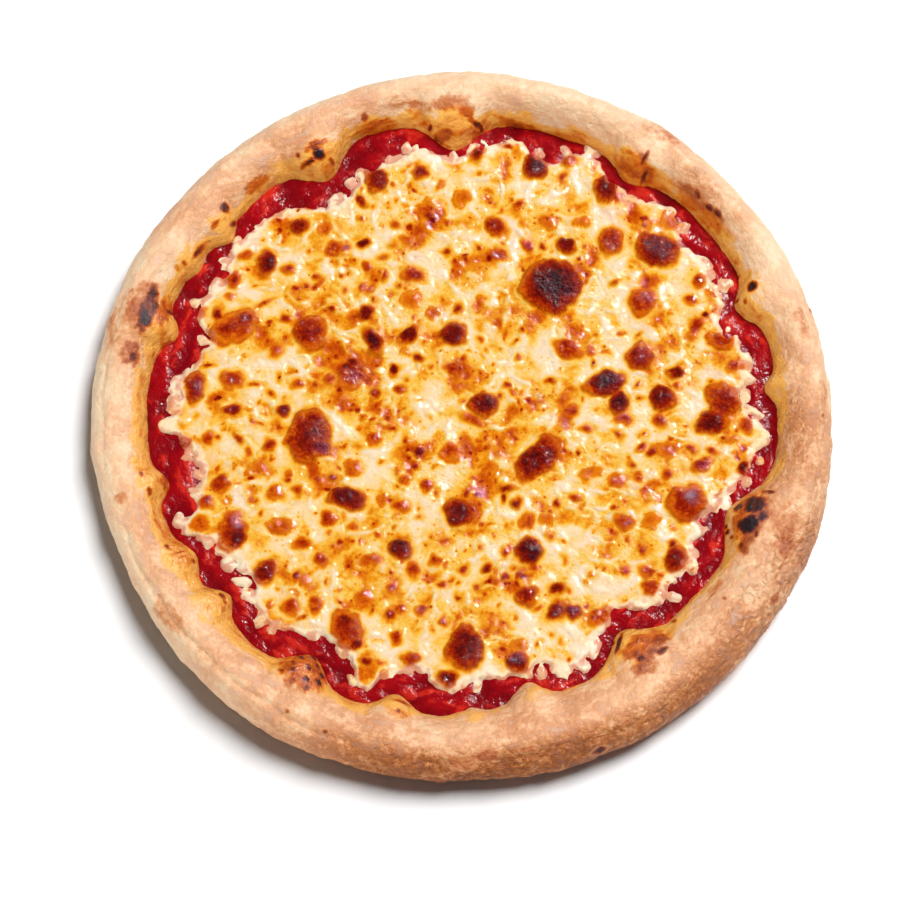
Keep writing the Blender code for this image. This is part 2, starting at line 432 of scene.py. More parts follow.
class Value:
    """A number that varies over a surface: one socket, with arithmetic."""

    def __init__(self, bench: "Bench", socket: bpy.types.NodeSocket) -> None:
        """Wrap a socket.

        Args:
            bench: The material it belongs to.
            socket: The socket that gives the number.
        """
        self.bench = bench
        self.socket = socket

    def __add__(self, other: "Value | float") -> "Value":
        """Sum."""
        return self.bench.math("ADD", self, other)

    def __sub__(self, other: "Value | float") -> "Value":
        """Difference."""
        return self.bench.math("SUBTRACT", self, other)

    def __rsub__(self, other: "Value | float") -> "Value":
        """Difference, reflected."""
        return self.bench.math("SUBTRACT", other, self)

    def __mul__(self, other: "Value | float") -> "Value":
        """Product."""
        return self.bench.math("MULTIPLY", self, other)

    __radd__ = __add__
    __rmul__ = __mul__

    def larger(self, other: "Value | float") -> "Value":
        """The larger of two values."""
        return self.bench.math("MAXIMUM", self, other)

    def eased(self, low: float, high: float) -> "Value":
        """Rise smoothly from 0 at low to 1 at high.

        Args:
            low: Where the rise starts.
            high: Where it ends; below low for a fall.

        Returns:
            The eased share.
        """
        return self.bench.eased(self, low, high)


class Bench:
    """Where one material is mixed: makes its nodes and joins them."""

    def __init__(self, name: str) -> None:
        """Start a material.

        Args:
            name: The material's name.
        """
        self.material = bpy.data.materials.new(name)
        self.material.use_nodes = True
        self.tree = self.material.node_tree
        self.shader = self.tree.nodes["Principled BSDF"]
        self.place = self.node("ShaderNodeTexCoord").outputs["Object"]

    def node(self, kind: str, settings: dict | None = None,
             inputs: dict | None = None) -> bpy.types.Node:
        """Make any node.

        Args:
            kind: The node's type.
            settings: Properties to set first.
            inputs: Socket values or links by socket name or number.

        Returns:
            The node.
        """
        made = self.tree.nodes.new(kind)
        for key, setting in (settings or {}).items():
            setattr(made, key, setting)
        for key, value in (inputs or {}).items():
            self.join(made.inputs[key], value)
        return made

    def join(self, socket: bpy.types.NodeSocket, value: object) -> None:
        """Link a value to a socket, or set the socket to a plain number or colour.

        Args:
            socket: The socket to fill.
            value: A Value, a socket, a number or a colour.
        """
        if isinstance(value, Value):
            value = value.socket
        if isinstance(value, bpy.types.NodeSocket):
            self.tree.links.new(value, socket)
        else:
            socket.default_value = value

    def math(self, operation: str, first: object, second: object) -> Value:
        """One sum on two numbers.

        Args:
            operation: The Math node's operation.
            first: First Value or number.
            second: Second Value or number.

        Returns:
            The result.
        """
        made = self.node("ShaderNodeMath", {"operation": operation}, {0: first, 1: second})
        return Value(self, made.outputs[0])

    def eased(self, value: Value, low: float, high: float) -> Value:
        """Rise smoothly from 0 at low to 1 at high.

        Args:
            value: The value to ease.
            low: Where the rise starts.
            high: Where it ends.

        Returns:
            The eased share.
        """
        start, end = (0.0, 1.0) if low < high else (1.0, 0.0)
        made = self.node("ShaderNodeMapRange", {"interpolation_type": "SMOOTHSTEP"},
                         {"Value": value, "From Min": min(low, high),
                          "From Max": max(low, high), "To Min": start, "To Max": end})
        return Value(self, made.outputs["Result"])

    def attribute(self, name: str) -> Value:
        """A number kept on the mesh's vertices."""
        made = self.node("ShaderNodeAttribute", {"attribute_name": name})
        return Value(self, made.outputs["Fac"])

    def along_rim(self, stretch: float) -> bpy.types.NodeSocket:
        """Object places squeezed across the rim, so that noise over them runs along it.

        Args:
            stretch: How many times longer than wide the noise's lumps become.

        Returns:
            The squeezed places.
        """
        level = self.vector("MULTIPLY", self.place, (1.0, 1.0, 0.0))
        ring = self.vector("NORMALIZE", level)
        squeezed = self.vector("MULTIPLY", self.place, (stretch,) * 3)
        return self.vector("MULTIPLY_ADD", ring, (RIM_CIRCLE * MM * (1.0 - stretch),) * 3, squeezed)

    def vector(self, operation: str, *parts: object) -> bpy.types.NodeSocket:
        """One sum on places.

        Args:
            operation: The Vector Math node's operation.
            *parts: Sockets or triples of numbers.

        Returns:
            The result.
        """
        made = self.node("ShaderNodeVectorMath", {"operation": operation}, dict(enumerate(parts)))
        return made.outputs["Vector"]

    def noise(self, size: float, detail: float = 3.0, roughness: float = 0.55,
              warp: float = 0.0, place: bpy.types.NodeSocket | None = None) -> Value:
        """Soft noise.

        Args:
            size: Width of its lumps in millimetres.
            detail: How many finer layers it has.
            roughness: How strong those are.
            warp: How far it is swirled.
            place: Places to take it at; object places if left out.

        Returns:
            Numbers around 0.5.
        """
        made = self.node("ShaderNodeTexNoise", {},
                         {"Vector": place or self.place, "Scale": 1.0 / (size * MM),
                          "Detail": detail, "Roughness": roughness, "Distortion": warp})
        return Value(self, made.outputs["Fac"])

    def bent(self, size: float, bend: float) -> bpy.types.NodeSocket:
        """Object places pushed about by soft noise.

        Args:
            size: Width of the noise in millimetres.
            bend: How far it pushes, in millimetres.

        Returns:
            The pushed places.
        """
        swirl = self.node("ShaderNodeTexNoise", {}, {"Vector": self.place, "Detail": 1.0,
                                                     "Scale": 1.0 / (size * MM)})
        return self.vector("MULTIPLY_ADD", swirl.outputs["Color"], (bend * MM,) * 3, self.place)

    def specks(self, size: float, bend: float = 1.0) -> tuple[Value, Value]:
        """Scattered points: distance from the nearest one, and one number for each point.

        Args:
            size: Spacing of the points in millimetres.
            bend: How far soft noise pushes their outlines, in millimetres.

        Returns:
            0 at each point, rising outwards as a share of the spacing; and the point's own
            number, between 0 and 1.
        """
        made = self.node("ShaderNodeTexVoronoi", {},
                         {"Vector": self.bent(size, bend), "Scale": 1.0 / (size * MM)})
        return Value(self, made.outputs["Distance"]), Value(self, made.outputs["Color"])

    def seams(self, size: float, bend: float = 0.0) -> Value:
        """Distance from the borders of irregular cells, as a share of their size.

        Args:
            size: Width of the cells in millimetres.
            bend: How far soft noise bends the borders, in millimetres.

        Returns:
            0 on each border, rising inwards.
        """
        made = self.node("ShaderNodeTexVoronoi", {"feature": "DISTANCE_TO_EDGE"},
                         {"Vector": self.bent(1.5 * size, bend), "Scale": 1.0 / (size * MM)})
        return Value(self, made.outputs["Distance"])

    def mixed(self, share: object, first: object, second: object) -> bpy.types.NodeSocket:
        """Blend two colours.

        Args:
            share: Share of the second, a Value or a number.
            first: Colour or colour socket.
            second: Colour or colour socket.

        Returns:
            The blended colour.
        """
        made = self.node("ShaderNodeMix", {"data_type": "RGBA", "clamp_factor": True})
        self.join(made.inputs[0], share)
        self.join(made.inputs[6], first)
        self.join(made.inputs[7], second)
        return made.outputs[2]

    def ramp(self, value: Value, stops: tuple[tuple[float, Colour], ...]
             ) -> bpy.types.NodeSocket:
        """Colour that follows a value.

        Args:
            value: From 0 to 1.
            stops: Rows of (value, colour), rising.

        Returns:
            The colour.
        """
        made = self.node("ShaderNodeValToRGB", {}, {"Fac": value})
        elements = made.color_ramp.elements
        while len(elements) < len(stops):
            elements.new(0.5)
        for element, (position, colour) in zip(elements, stops):
            element.position = position
            element.color = colour
        return made.outputs["Color"]

    def bump(self, height: Value) -> bpy.types.NodeSocket:
        """Fine relief.

        Args:
            height: Relief in millimetres.

        Returns:
            The normal.
        """
        inputs = {"Height": height, "Distance": MM, "Strength": 1.0}
        return self.node("ShaderNodeBump", {}, inputs).outputs["Normal"]

    def finish(self, **sockets: object) -> bpy.types.Material:
        """Fill the shader's sockets.

        Args:
            **sockets: Values by socket name, with _ for a space.

        Returns:
            The material.
        """
        for name, value in sockets.items():
            self.join(self.shader.inputs[name.replace("_", " ")], value)
        return self.material


class Marking(Enum):
    """Numbers kept on the vertices for the finishes."""

    BROWNING = "browning"      # 0 unbrowned to 1 charred
    GOLD = "gold"              # oily yellow
    LUMP = "lump"              # raised strands of cheese
    EDGE = "edge"              # cheese near its edge
    CRISP = "crisp"            # crinkled skin of a blister
    TOAST = "toast"            # evenly baked dough; on the outer wall also painted shade and light
    OIL = "oil"                # dough stained by oil and sauce; at the back right also painted shade under the rim
    CRACK = "crack"            # split skin of the dough


# ------------------------------------------------------------------------------ finishes


@dataclass(frozen=True)
class CrustFinish:
    """Baked dough: floury cream, rosy and toasted, oily at the sauce, charred in spots, with painted
    shade and light on its outer wall, in its wrinkles and at the foot of its back right slope.
    """

    rosy: Colour = paint(222, 152, 112)
    flour: Colour = paint(250, 232, 210)
    oil_light: Colour = paint(252, 186, 88)
    oil_deep: Colour = paint(214, 98, 16)
    roughness: float = 0.52
    tans: tuple[tuple[float, Colour], ...] = (
        (0.00, paint(248, 216, 178)), (0.20, paint(246, 200, 156)),
        (0.38, paint(236, 174, 126)), (0.54, paint(212, 138, 84)),
        (0.75, paint(178, 100, 42)), (1.00, paint(130, 64, 20)))
    chars: tuple[tuple[float, Colour], ...] = (
        (0.12, paint(236, 190, 142)), (0.30, paint(228, 162, 110)),
        (0.45, paint(206, 126, 74)), (0.60, paint(170, 84, 44)),
        (0.75, paint(120, 48, 34)), (0.88, paint(70, 30, 32)), (1.00, paint(38, 24, 30)))
    stains: tuple[tuple[float, Colour], ...] = (
        (0.12, paint(250, 190, 84)), (0.35, paint(236, 150, 44)),
        (0.55, paint(206, 96, 20)), (0.72, paint(140, 50, 16)),
        (0.86, paint(74, 28, 20)), (1.00, paint(34, 20, 24)))

    def make(self) -> bpy.types.Material:
        """Mix the material."""
        bench = Bench("baked dough")
        browning = bench.attribute(Marking.BROWNING.value)
        toast = bench.attribute(Marking.TOAST.value)
        oil = bench.attribute(Marking.OIL.value)
        crack = bench.attribute(Marking.CRACK.value)

        broad = bench.noise(24.0, 1.0)
        mottle = bench.noise(10.0, 4.0, 0.62, 0.3, bench.along_rim(1.9))
        grain = bench.noise(2.0, 3.0, 0.65)
        leather = bench.seams(3.8, 3.0)

        rough = toast.eased(0.25, 0.75)
        wrinkles = (0.42 - leather).larger(0.0) * (crack * 1.2 + rough * 0.3)
        # Wrinkles also darken the tone in their grooves: painted shade in the cracks that the bump cuts.
        browner_and_crease_shade = (toast + (mottle - 0.5) * 1.1 + (broad - 0.5) * 0.5
                   + (grain - 0.5) * (0.55 + rough * 0.6) + wrinkles * 0.3)
        dough = bench.ramp(browner_and_crease_shade, self.tans)
        blush = (mottle * 0.5 + broad * 0.5 + (grain - 0.5) * 0.2).eased(0.50, 0.66)
        dough = bench.mixed(blush * (0.38 - rough * 0.20), dough, self.rosy)
        floury = (mottle * 0.7 + grain * 0.3).eased(0.50, 0.64) * 0.34 * (1.0 - rough)
        dough = bench.mixed(floury, dough, self.flour)

        oily = oil + (mottle - 0.5) * 2.2 + (grain - 0.5) * 0.3
        dough = bench.mixed(oily.eased(0.15, 0.60) * oil.eased(0.0, 0.25), dough, self.oil_light)
        dough = bench.mixed(oily.eased(0.65, 1.30), dough, self.oil_deep)

        ragged = browning + (mottle - 0.5) * 0.80 + (grain - 0.5) * 0.30
        shown = ragged.eased(0.08, 0.50) * browning.eased(0.02, 0.25)
        marks = bench.mixed(oil.eased(0.10, 0.40), bench.ramp(ragged, self.chars),
                            bench.ramp(ragged, self.stains))
        dough = bench.mixed(shown, dough, marks)

        skin = bench.bump(mottle * 0.7 + grain * (0.80 + rough * 1.0) - wrinkles * 2.2)
        gloss = self.roughness - oil.eased(0.2, 0.8) * 0.26 + (grain - 0.5) * 0.2
        return bench.finish(Base_Color=dough, Roughness=gloss, Normal=skin,
                            Specular_IOR_Level=0.35)


@dataclass(frozen=True)
class SauceFinish:
    """Cooked tomato sauce: wet, pulpy, deep red with brighter bits."""

    deep: Colour = paint(118, 4, 14)
    red: Colour = paint(158, 8, 18)
    bright: Colour = paint(200, 40, 26)
    roughness: float = 0.22

    def make(self) -> bpy.types.Material:
        """Mix the material."""
        bench = Bench("tomato sauce")
        lump = bench.attribute(Marking.LUMP.value)
        pulp = bench.noise(8.0, 2.0, 0.5, 0.4, bench.along_rim(1.8))
        fine = bench.noise(1.8, 2.0)
        sauce = bench.mixed((lump + (pulp - 0.5) * 0.8 + (fine - 0.5) * 0.3).eased(0.0, 0.80),
                            self.deep, self.red)
        bits = (pulp + (lump - 0.5) * 0.20 + (fine - 0.5) * 0.2).eased(0.54, 0.72)
        sauce = bench.mixed(bits, sauce, self.bright)
        skin = bench.bump(pulp * 0.7 + fine * 0.50)
        gloss = self.roughness + (pulp - 0.5) * 0.3
        return bench.finish(Base_Color=sauce, Roughness=gloss, Normal=skin,
                            Specular_IOR_Level=0.16)


@dataclass(frozen=True)
class CheeseFinish:
    """Melted cheese: creamy strands in golden oil, browned and charred blisters."""

    white: Colour = paint(246, 234, 208)
    blush: Colour = paint(228, 172, 132)
    stained: Colour = paint(210, 122, 92)
    roughness: float = 0.08
    heats: tuple[tuple[float, Colour], ...] = (
        (0.00, paint(242, 216, 184)), (0.10, paint(240, 206, 148)),
        (0.20, paint(240, 186, 68)), (0.30, paint(230, 146, 18)),
        (0.40, paint(212, 100, 6)), (0.52, paint(178, 54, 2)),
        (0.65, paint(146, 26, 2)), (0.79, paint(112, 14, 4)),
        (0.90, paint(84, 8, 8)), (1.00, paint(50, 8, 12)))

    def make(self) -> bpy.types.Material:
        """Mix the material."""
        bench = Bench("melted cheese")
        browning = bench.attribute(Marking.BROWNING.value)
        gold = bench.attribute(Marking.GOLD.value)
        lump = bench.attribute(Marking.LUMP.value)
        edge = bench.attribute(Marking.EDGE.value)
        crisp = bench.attribute(Marking.CRISP.value)

        pool = bench.noise(13.0, 1.0, 0.4, 0.4)
        soft = bench.noise(5.5, 1.5, 0.45, 0.5)
        fine = bench.noise(1.5, 2.0, 0.6, 0.3)
        away, pick = bench.specks(4.4, 2.6)
        inner = 1.0 - edge.eased(0.2, 0.9)

        crinkle = bench.noise(2.4, 2.0, 0.5, 0.8)
        strand = lump.eased(0.40, 0.85)
        amber = soft + (pool - 0.5) * 0.9 + (crinkle - 0.5) * 0.35 + gold * 0.16 - lump * 0.10
        amber = amber.eased(0.44, 0.92) * inner * (1.0 - strand * 0.55)
        dot = (pick * 0.6 - 0.20 + (pool - 0.5) * 0.4 - away).eased(-0.10, 0.20) * inner
        near, rare = bench.specks(2.3, 1.0)
        freckle = (rare * 0.9 - 0.45 - near).eased(-0.05, 0.15) * inner
        warmth = (0.09 + (pool - 0.5) * 0.7 + gold * 0.10 + (fine - 0.5) * 0.20
                  + lump.eased(0.30, 0.0) * 0.06
                  + amber * 0.17 + dot * (0.13 + amber * 0.20) - strand * 0.10
                  + freckle * (0.16 + amber * 0.06))
        ragged = browning + ((fine - 0.5) * 0.45 + (crinkle - 0.5) * 0.40
                             + (soft - 0.5) * 0.34) * browning.eased(0.3, 0.6)
        heat = ragged.larger(warmth)
        colour = bench.ramp(heat, self.heats)
        rosy = (bench.noise(12.0, 2.0) + (fine - 0.5) * 0.3).eased(0.52, 0.70)
        colour = bench.mixed(rosy * 0.35 * heat.eased(0.30, 0.05), colour, self.blush)
        pale = edge.eased(0.20, 0.8) * 0.70 * heat.eased(0.45, 0.15)
        colour = bench.mixed(pale, colour, self.white)
        thin = (edge + (soft - 0.5) * 2.2).eased(0.80, 1.20) * 0.7
        colour = bench.mixed(thin, colour, self.stained)

        skin = bench.bump(soft * -0.9 + fine * (0.34 + crisp * 0.50)
                          + crinkle * (0.26 + crisp * 0.7))
        gloss = self.roughness + (fine - 0.5) * 0.08 - crisp * 0.04
        return bench.finish(Base_Color=colour, Roughness=gloss, Normal=skin,
                            Specular_IOR_Level=0.26,
                            Subsurface_Weight=0.25, Subsurface_Scale=0.0015,
                            Subsurface_Radius=(1.0, 0.45, 0.15))


@dataclass(frozen=True)
class FloorFinish:
    """Plain white floor."""

    colour: Colour = paint(253, 253, 253)

    def make(self) -> bpy.types.Material:
        """Mix the material."""
        bench = Bench("white floor")
        return bench.finish(Base_Color=self.colour, Roughness=0.9, Specular_IOR_Level=0.2)


# -------------------------------------------------------------------------------- pieces


@dataclass
class Crust:
    """The dough: flat base and puffed, folded, charred rim."""

    plan: Plan
    finish: CrustFinish
    wedges: int = 24
    wedge_steps: int = 50
    inner_steps: int = 24
    outer_steps: int = 19
    under_steps: int = 9
    inner_power: float = 1.7
    bubble_count: int = 46
    bubble_seed: int = 11
    # Creases along the rim: from and to angle, radius, depth.
    long_creases: Table = ((196, 262, 145.5, 1.0), (224, 250, 139.5, 0.5), (255, 310, 147.0, 0.8),
                           (150, 196, 147.0, 0.6), (30, 62, 146.0, 0.5), (340, 385, 147.5, 0.6))
    # Darker and paler stretches of the rim's top and of its outer wall: angle, change, spread. On the
    # outer wall they are partly baking and partly painted shade and light: darker on the front, paler on
    # the left and at the back.
    tanned_crown: Table = ((0, 0.24, 12), (42, 0.18, 8), (345, 0.14, 10), (125, 0.16, 14),
                           (164, 0.16, 7), (215, 0.14, 26), (265, 0.18, 18), (312, 0.16, 16))
    wall_toast_and_painted_light: Table = ((128, -0.06, 12), (175, -0.14, 20), (213, -0.18, 20), (268, 0.26, 16),
                          (295, 0.28, 18), (330, 0.08, 14), (5, -0.10, 16), (60, -0.18, 36),
                          (104, -0.16, 14))
    # How strongly oil stains the inner slope, and how far up it goes: angle, change, spread. The deeper
    # stain at 66 degrees also paints the shade under the tall rim at the back right.
    oil_depth_and_painted_shade: Table = ((66, 0.5, 24), (215, 0.15, 34), (278, -0.35, 14), (340, -0.2, 14))
    oil_reach: Table = ((66, -0.12, 24), (205, 0.16, 40), (278, -0.20, 14), (340, -0.12, 14),
                        (145, -0.08, 12))

    # Marks: angle, radius, half length along the rim, half width, turn, how dark.
    marks: Table = (
        (23.7, 131.7, 2.2, 1.9, 0, 1.0), (22, 127, 1.2, 0.8, 0, 0.8), (23.5, 125, 1, 0.8, 0, 0.8),
        (25, 126, 1, 1.4, 0, 0.7), (27.8, 130, 1, 0.8, 0, 0.8), (42, 134.5, 16, 3.4, 0, 0.46),
        (38.5, 136.5, 2.2, 1.2, 0, 0.75), (40.5, 136, 1.8, 1, 0, 0.75), (43.5, 136, 2, 1, 0, 0.7),
        (55.5, 130.5, 9, 4.5, 0, 0.5), (55, 134, 1, 2.6, 0, 0.8), (53.5, 129, 0.9, 2.5, 0, 0.75),
        # The rows at 72 and 79 degrees are a dark band at the foot of the back right inner wall: partly
        # oil stain, partly painted shade under the overhanging rim.
        (55, 147, 9, 5, 0, 0.36), (72, 131, 22, 1.2, 0, 0.50), (79, 131.5, 9, 1, 0, 0.6),
        (87, 127.5, 3.5, 1, 10, 0.9), (91.5, 135, 8, 3.6, 0, 0.46), (95.7, 127.5, 1, 1, 0, 0.9),
        (99, 127.5, 1, 1, 0, 0.9), (97.5, 134, 5, 3, 0, 0.44), (101, 138, 6, 2.4, 0, 0.30),
        (93.5, 123.5, 5, 2.4, 0, 0.62), (89, 131, 3.4, 2.4, 0, 0.62), (86.5, 124, 3, 2.6, 20, 0.6),
        (115, 150.5, 1.1, 1.1, 0, 0.5), (107.5, 135.3, 1.5, 1.5, 0, 0.6), (106, 132, 9, 2, 0, 0.5),
        (118.2, 127.5, 2.2, 2, 0, 0.92), (120.5, 126.8, 3.5, 0.9, 0, 0.85),
        (118, 131, 4.5, 1.3, 0, 0.7), (121.5, 130.8, 1, 1, 0, 0.75), (116.5, 123.5, 1.1, 1.3, 0, 0.85),
        (117.5, 120, 3, 4, 0, 0.5), (131, 131.7, 7, 1.8, 0, 0.5), (138.3, 132, 2.2, 2, 0, 0.85),
        (138.8, 126.5, 2, 0.8, 0, 0.85), (142, 130.5, 2.4, 0.9, 0, 0.75),
        (147.5, 129.5, 3.4, 0.8, 0, 0.7), (151, 131.5, 0.9, 0.9, 0, 0.7),
        (152.5, 132.5, 1.4, 1.4, 0, 0.45), (162.0, 135.2, 9.5, 3.3, 0, 0.88),
        (163.5, 135, 4.5, 1.8, 0, 0.97), (162, 139, 10, 4.5, 0, 0.5), (161, 130, 8, 2.6, 0, 0.55),
        (160, 128.3, 1.2, 1, 0, 0.85), (165.5, 126.5, 3.2, 2.6, 0, 0.5), (170.5, 137, 5.5, 4, 0, 0.60),
        (171, 136, 2.2, 1.6, 0, 0.85), (165, 145, 12, 5, 0, 0.36), (155.7, 152.5, 0.8, 0.8, 0, 0.7),
        (192.5, 132.5, 1.2, 0.8, 0, 0.7), (195.7, 131, 1.5, 1, 0, 0.88), (194, 124.5, 4, 1.5, 0, 0.6),
        (208.5, 129, 7, 4.5, 0, 0.42), (206.8, 132, 1.4, 1, 0, 0.78), (208.5, 128.5, 0.6, 2.4, 0, 0.75),
        (209.3, 128.5, 0.5, 2.2, 0, 0.7), (210.5, 125.5, 1, 1, 0, 0.75),
        (220, 131.5, 2.2, 1.5, 0, 0.42), (219.3, 123.8, 1.6, 1.2, 0, 0.88),
        (220.5, 124.5, 1, 0.8, 0, 0.8), (217.5, 145.5, 10, 3.6, 0, 0.36), (196, 142, 2.6, 4, 0, 0.38),
        (240.5, 127, 10, 8, 0, 0.56), (237.5, 131.5, 1.3, 0.9, 0, 0.9), (240, 133, 1.5, 1, 0, 0.88),
        (242.5, 132.8, 1.2, 0.9, 0, 0.9), (239, 129.2, 1.2, 0.9, 0, 0.9),
        (241.7, 129.4, 1.4, 1, 0, 0.92), (243.7, 127.6, 1.7, 1.0, 20, 0.95),
        (238.1, 126.3, 1.2, 0.8, 0, 0.88), (240.8, 125, 1.6, 0.9, 30, 0.95),
        (243.3, 123.9, 1.6, 0.9, 0, 0.93), (238.8, 122.6, 1.3, 0.8, 20, 0.9),
        (241.8, 121, 1.3, 0.8, 0, 0.9), (240.2, 118.6, 1.8, 1, 10, 0.92), (241.8, 144.3, 1, 1, 0, 0.6),
        (248.5, 145, 1, 1, 0, 0.6), (258.2, 129.7, 6, 1.8, 0, 0.45), (258.7, 129, 0.9, 0.9, 0, 0.85),
        (259, 124.2, 4.2, 0.9, 0, 0.65), (270, 145.5, 7, 3.6, 0, 0.5), (274, 144.5, 5, 2.6, 0, 0.55),
        (280.5, 144, 3.5, 1.6, 0, 0.5), (291, 151, 3, 0.8, 0, 0.8), (306.5, 123.5, 10, 4.8, 0, 0.62),
        (303.5, 130.5, 6, 4, 0, 0.52), (307.5, 129.5, 2.6, 1.3, 0, 0.8),
        (303.7, 127, 1.8, 0.8, 0, 0.85), (302.8, 116.5, 4, 0.9, -40, 0.97),
        (308, 115.5, 2.2, 1, 0, 0.95), (302, 114, 0.8, 0.8, 0, 0.9), (313.8, 122, 1, 1, 0, 0.7),
        (327, 148, 3.5, 1.4, 0, 0.6), (335, 142, 5, 5, 0, 0.5), (339, 139, 9, 6, 0, 0.4),
        (322, 132.3, 1, 1, 0, 0.6), (323, 126, 4.5, 2, 0, 0.42), (333, 127.5, 4.6, 2.8, 0, 0.55),
        (335, 130.3, 1.2, 1, 0, 0.85), (332.5, 126, 1.2, 1, 0, 0.8), (338.6, 126, 11, 7, 0, 0.56),
        (336.4, 125.8, 3.6, 3.6, 0, 0.97), (340.5, 125.4, 4.2, 3.9, 0, 0.98),
        (338.5, 129.8, 2.5, 1.4, 0, 0.9), (339.5, 119.5, 2.2, 1.6, 0, 0.92),
        (333.8, 121, 0.8, 0.8, 0, 0.8), (334.8, 118.3, 0.8, 0.8, 0, 0.8),
        (335.7, 116.3, 0.8, 0.8, 0, 0.8), (342.2, 118.3, 0.9, 0.9, 0, 0.8),
        (343.5, 129, 0.8, 2.2, 0, 0.85), (347, 122.8, 1, 1, 0, 0.7), (358.5, 147, 1.4, 0.8, 30, 0.6),
        (2.5, 146.5, 6, 3.5, 0, 0.36), (14.5, 144, 6.5, 3.2, 0, 0.38), (16.5, 150, 1, 1, 0, 0.6))

    def profile(self) -> list[tuple[float, float]]:
        """Half section at its average sizes, from the middle of the floor to the middle of
        the underside, as (radius, height)."""
        plan = self.plan
        crest = plan.crest_radius()
        rest = plan.rim_radius - plan.rest_inset
        line = plan.sauce_line_radius
        points = [(0.0, plan.base_thickness), (0.5 * line, plan.base_thickness),
                  (line - 4.0, plan.base_thickness), (line - 2.0, plan.base_thickness + 0.2),
                  (line, plan.sauce_top - 0.8)]
        for across, up in reversed(rounded(self.inner_steps, self.inner_power)):
            points.append((crest - across * (crest - line),
                           plan.sauce_top + up * (plan.rim_height - plan.sauce_top)))
        points.append((crest, plan.rim_height))
        for across, up in rounded(self.outer_steps):
            points.append((crest + across * (plan.rim_radius - crest),
                           plan.widest_height + up * (plan.rim_height - plan.widest_height)))
        points.append((plan.rim_radius, plan.widest_height))
        for across, up in rounded(self.under_steps):
            points.append((rest + up * plan.rest_inset, plan.widest_height * (1.0 - across)))
        points += [(rest, 0.0), (0.8 * rest, 0.0), (0.4 * rest, 0.0), (0.0, 0.0)]
        return points

    def shaped(self, places: Array) -> Array:
        """Carry the average section over to the real one at each angle.

        Args:
            places: Vertices of the turned body.

        Returns:
            Their new places.
        """
        plan = self.plan
        radius, angle = polar(places)
        line, crest = plan.sauce_line_radius, plan.crest_radius()
        marks_from = numpy.array((0.0, line - plan.foot_width, line, crest, plan.rim_radius))
        wall = plan.sauce_line(angle)
        marks_to = numpy.column_stack((0.0 * wall, wall - plan.foot_width, wall,
                                       plan.crest(angle), plan.outside(angle)))
        span = numpy.clip(numpy.searchsorted(marks_from, radius, side="right") - 1, 0, 3)
        share = (radius - marks_from[span]) / (marks_from[span + 1] - marks_from[span])
        rows = numpy.arange(len(radius))
        place = marks_to[rows, span] + share * (marks_to[rows, span + 1] - marks_to[rows, span])
        foot = numpy.where(radius < crest, plan.sauce_top, plan.widest_height)
        stretch = (plan.crest_height(angle) - foot) / (plan.rim_height - foot)
        height = numpy.where(places[:, 2] > foot, foot + (places[:, 2] - foot) * stretch,
                             places[:, 2])
        return cartesian(place, angle, height)

    def relief(self, places: Array, slope: Array) -> tuple[Array, Array]:
        """Height of the dough's lumps, bubbles, creases and wrinkles.

        Args:
            places: Vertices in millimetres.
            slope: Share of the way from the sauce line up to the crest; past 1 outside it.

        Returns:
            Millimetres along the normals, and how cracked the skin is.
        """
        radius, angle = polar(places)
        height = 0.75 * noise_over(places, 19.0, 1) + 0.40 * noise_over(places, 7.0, 2)
        height += 0.14 * noise_over(places, 2.2, 3)
        wall = smooth_step(radius, 139.0, 146.0) * bumps(angle, ((285, 1.0, 45),))
        height += wall * (0.35 * noise_over(places, 4.5, 13) + 0.22 * noise_over(places, 2.4, 14))

        unrolled = Patch(numpy.radians(angle % 360.0) * 140.0, radius)
        random = numpy.random.default_rng(self.bubble_seed)
        for _ in range(self.bubble_count):
            along = random.uniform(0.0, math.tau) * 140.0
            size = random.uniform(2.5, 6.5)
            found, away = unrolled.oval(along, random.uniform(134.0, 150.0), size * 1.2, size,
                                        random.uniform(0.0, 180.0), 0.0)
            dome = numpy.clip(1.0 - away ** 2, 0.0, 1.0) ** 1.5
            height[found] += random.uniform(0.25, 0.8) * dome

        on_slope = smooth_step(slope, -0.05, 0.25) * smooth_step(slope, 1.05, 0.55)
        for centre, reach, spread in self.plan.rim_folds:
            turn = turn_between(angle, centre)
            body = numpy.exp(-0.5 * (turn / (0.9 * spread)) ** 2)
            height += 0.16 * reach * body * smooth_step(slope, 0.0, 0.30) * smooth_step(slope, 0.95, 0.40)
            for side in (-1.7, 1.7):
                crease = numpy.exp(-0.5 * ((turn - side * spread) / 0.8) ** 2)
                height -= 0.13 * reach * crease * on_slope

        height -= 0.30 * numpy.exp(-(noise_over(places, 15.0, 12) / 0.06) ** 2)
        for start, end, middle, depth in self.long_creases:
            length = numpy.abs(turn_between(angle, 0.5 * (start + end))) / (0.5 * (end - start))
            meander = middle + 2.2 * noise_over(places, 30.0, 15)
            groove = numpy.exp(-((radius - meander) / 1.0) ** 2)
            height -= depth * groove * smooth_step(length, 1.0, 0.6)
        crack = smooth_step(numpy.abs(turn_between(angle, 328.0)), 19.0, 8.0)
        crack *= smooth_step(radius, 131.0, 139.0)
        crack = numpy.maximum(crack, 0.5 * smooth_step(numpy.abs(turn_between(angle, 280.0)), 36.0, 16.0)
                              * smooth_step(radius, 139.0, 145.0))
        crack *= 0.65 + 0.7 * noise_over(places, 8.0, 10)
        folds = numpy.exp(-(noise_over(places, 5.5, 9) / 0.12) ** 2)
        height -= 0.55 * numpy.maximum(crack, 0.0) * folds
        return height, crack

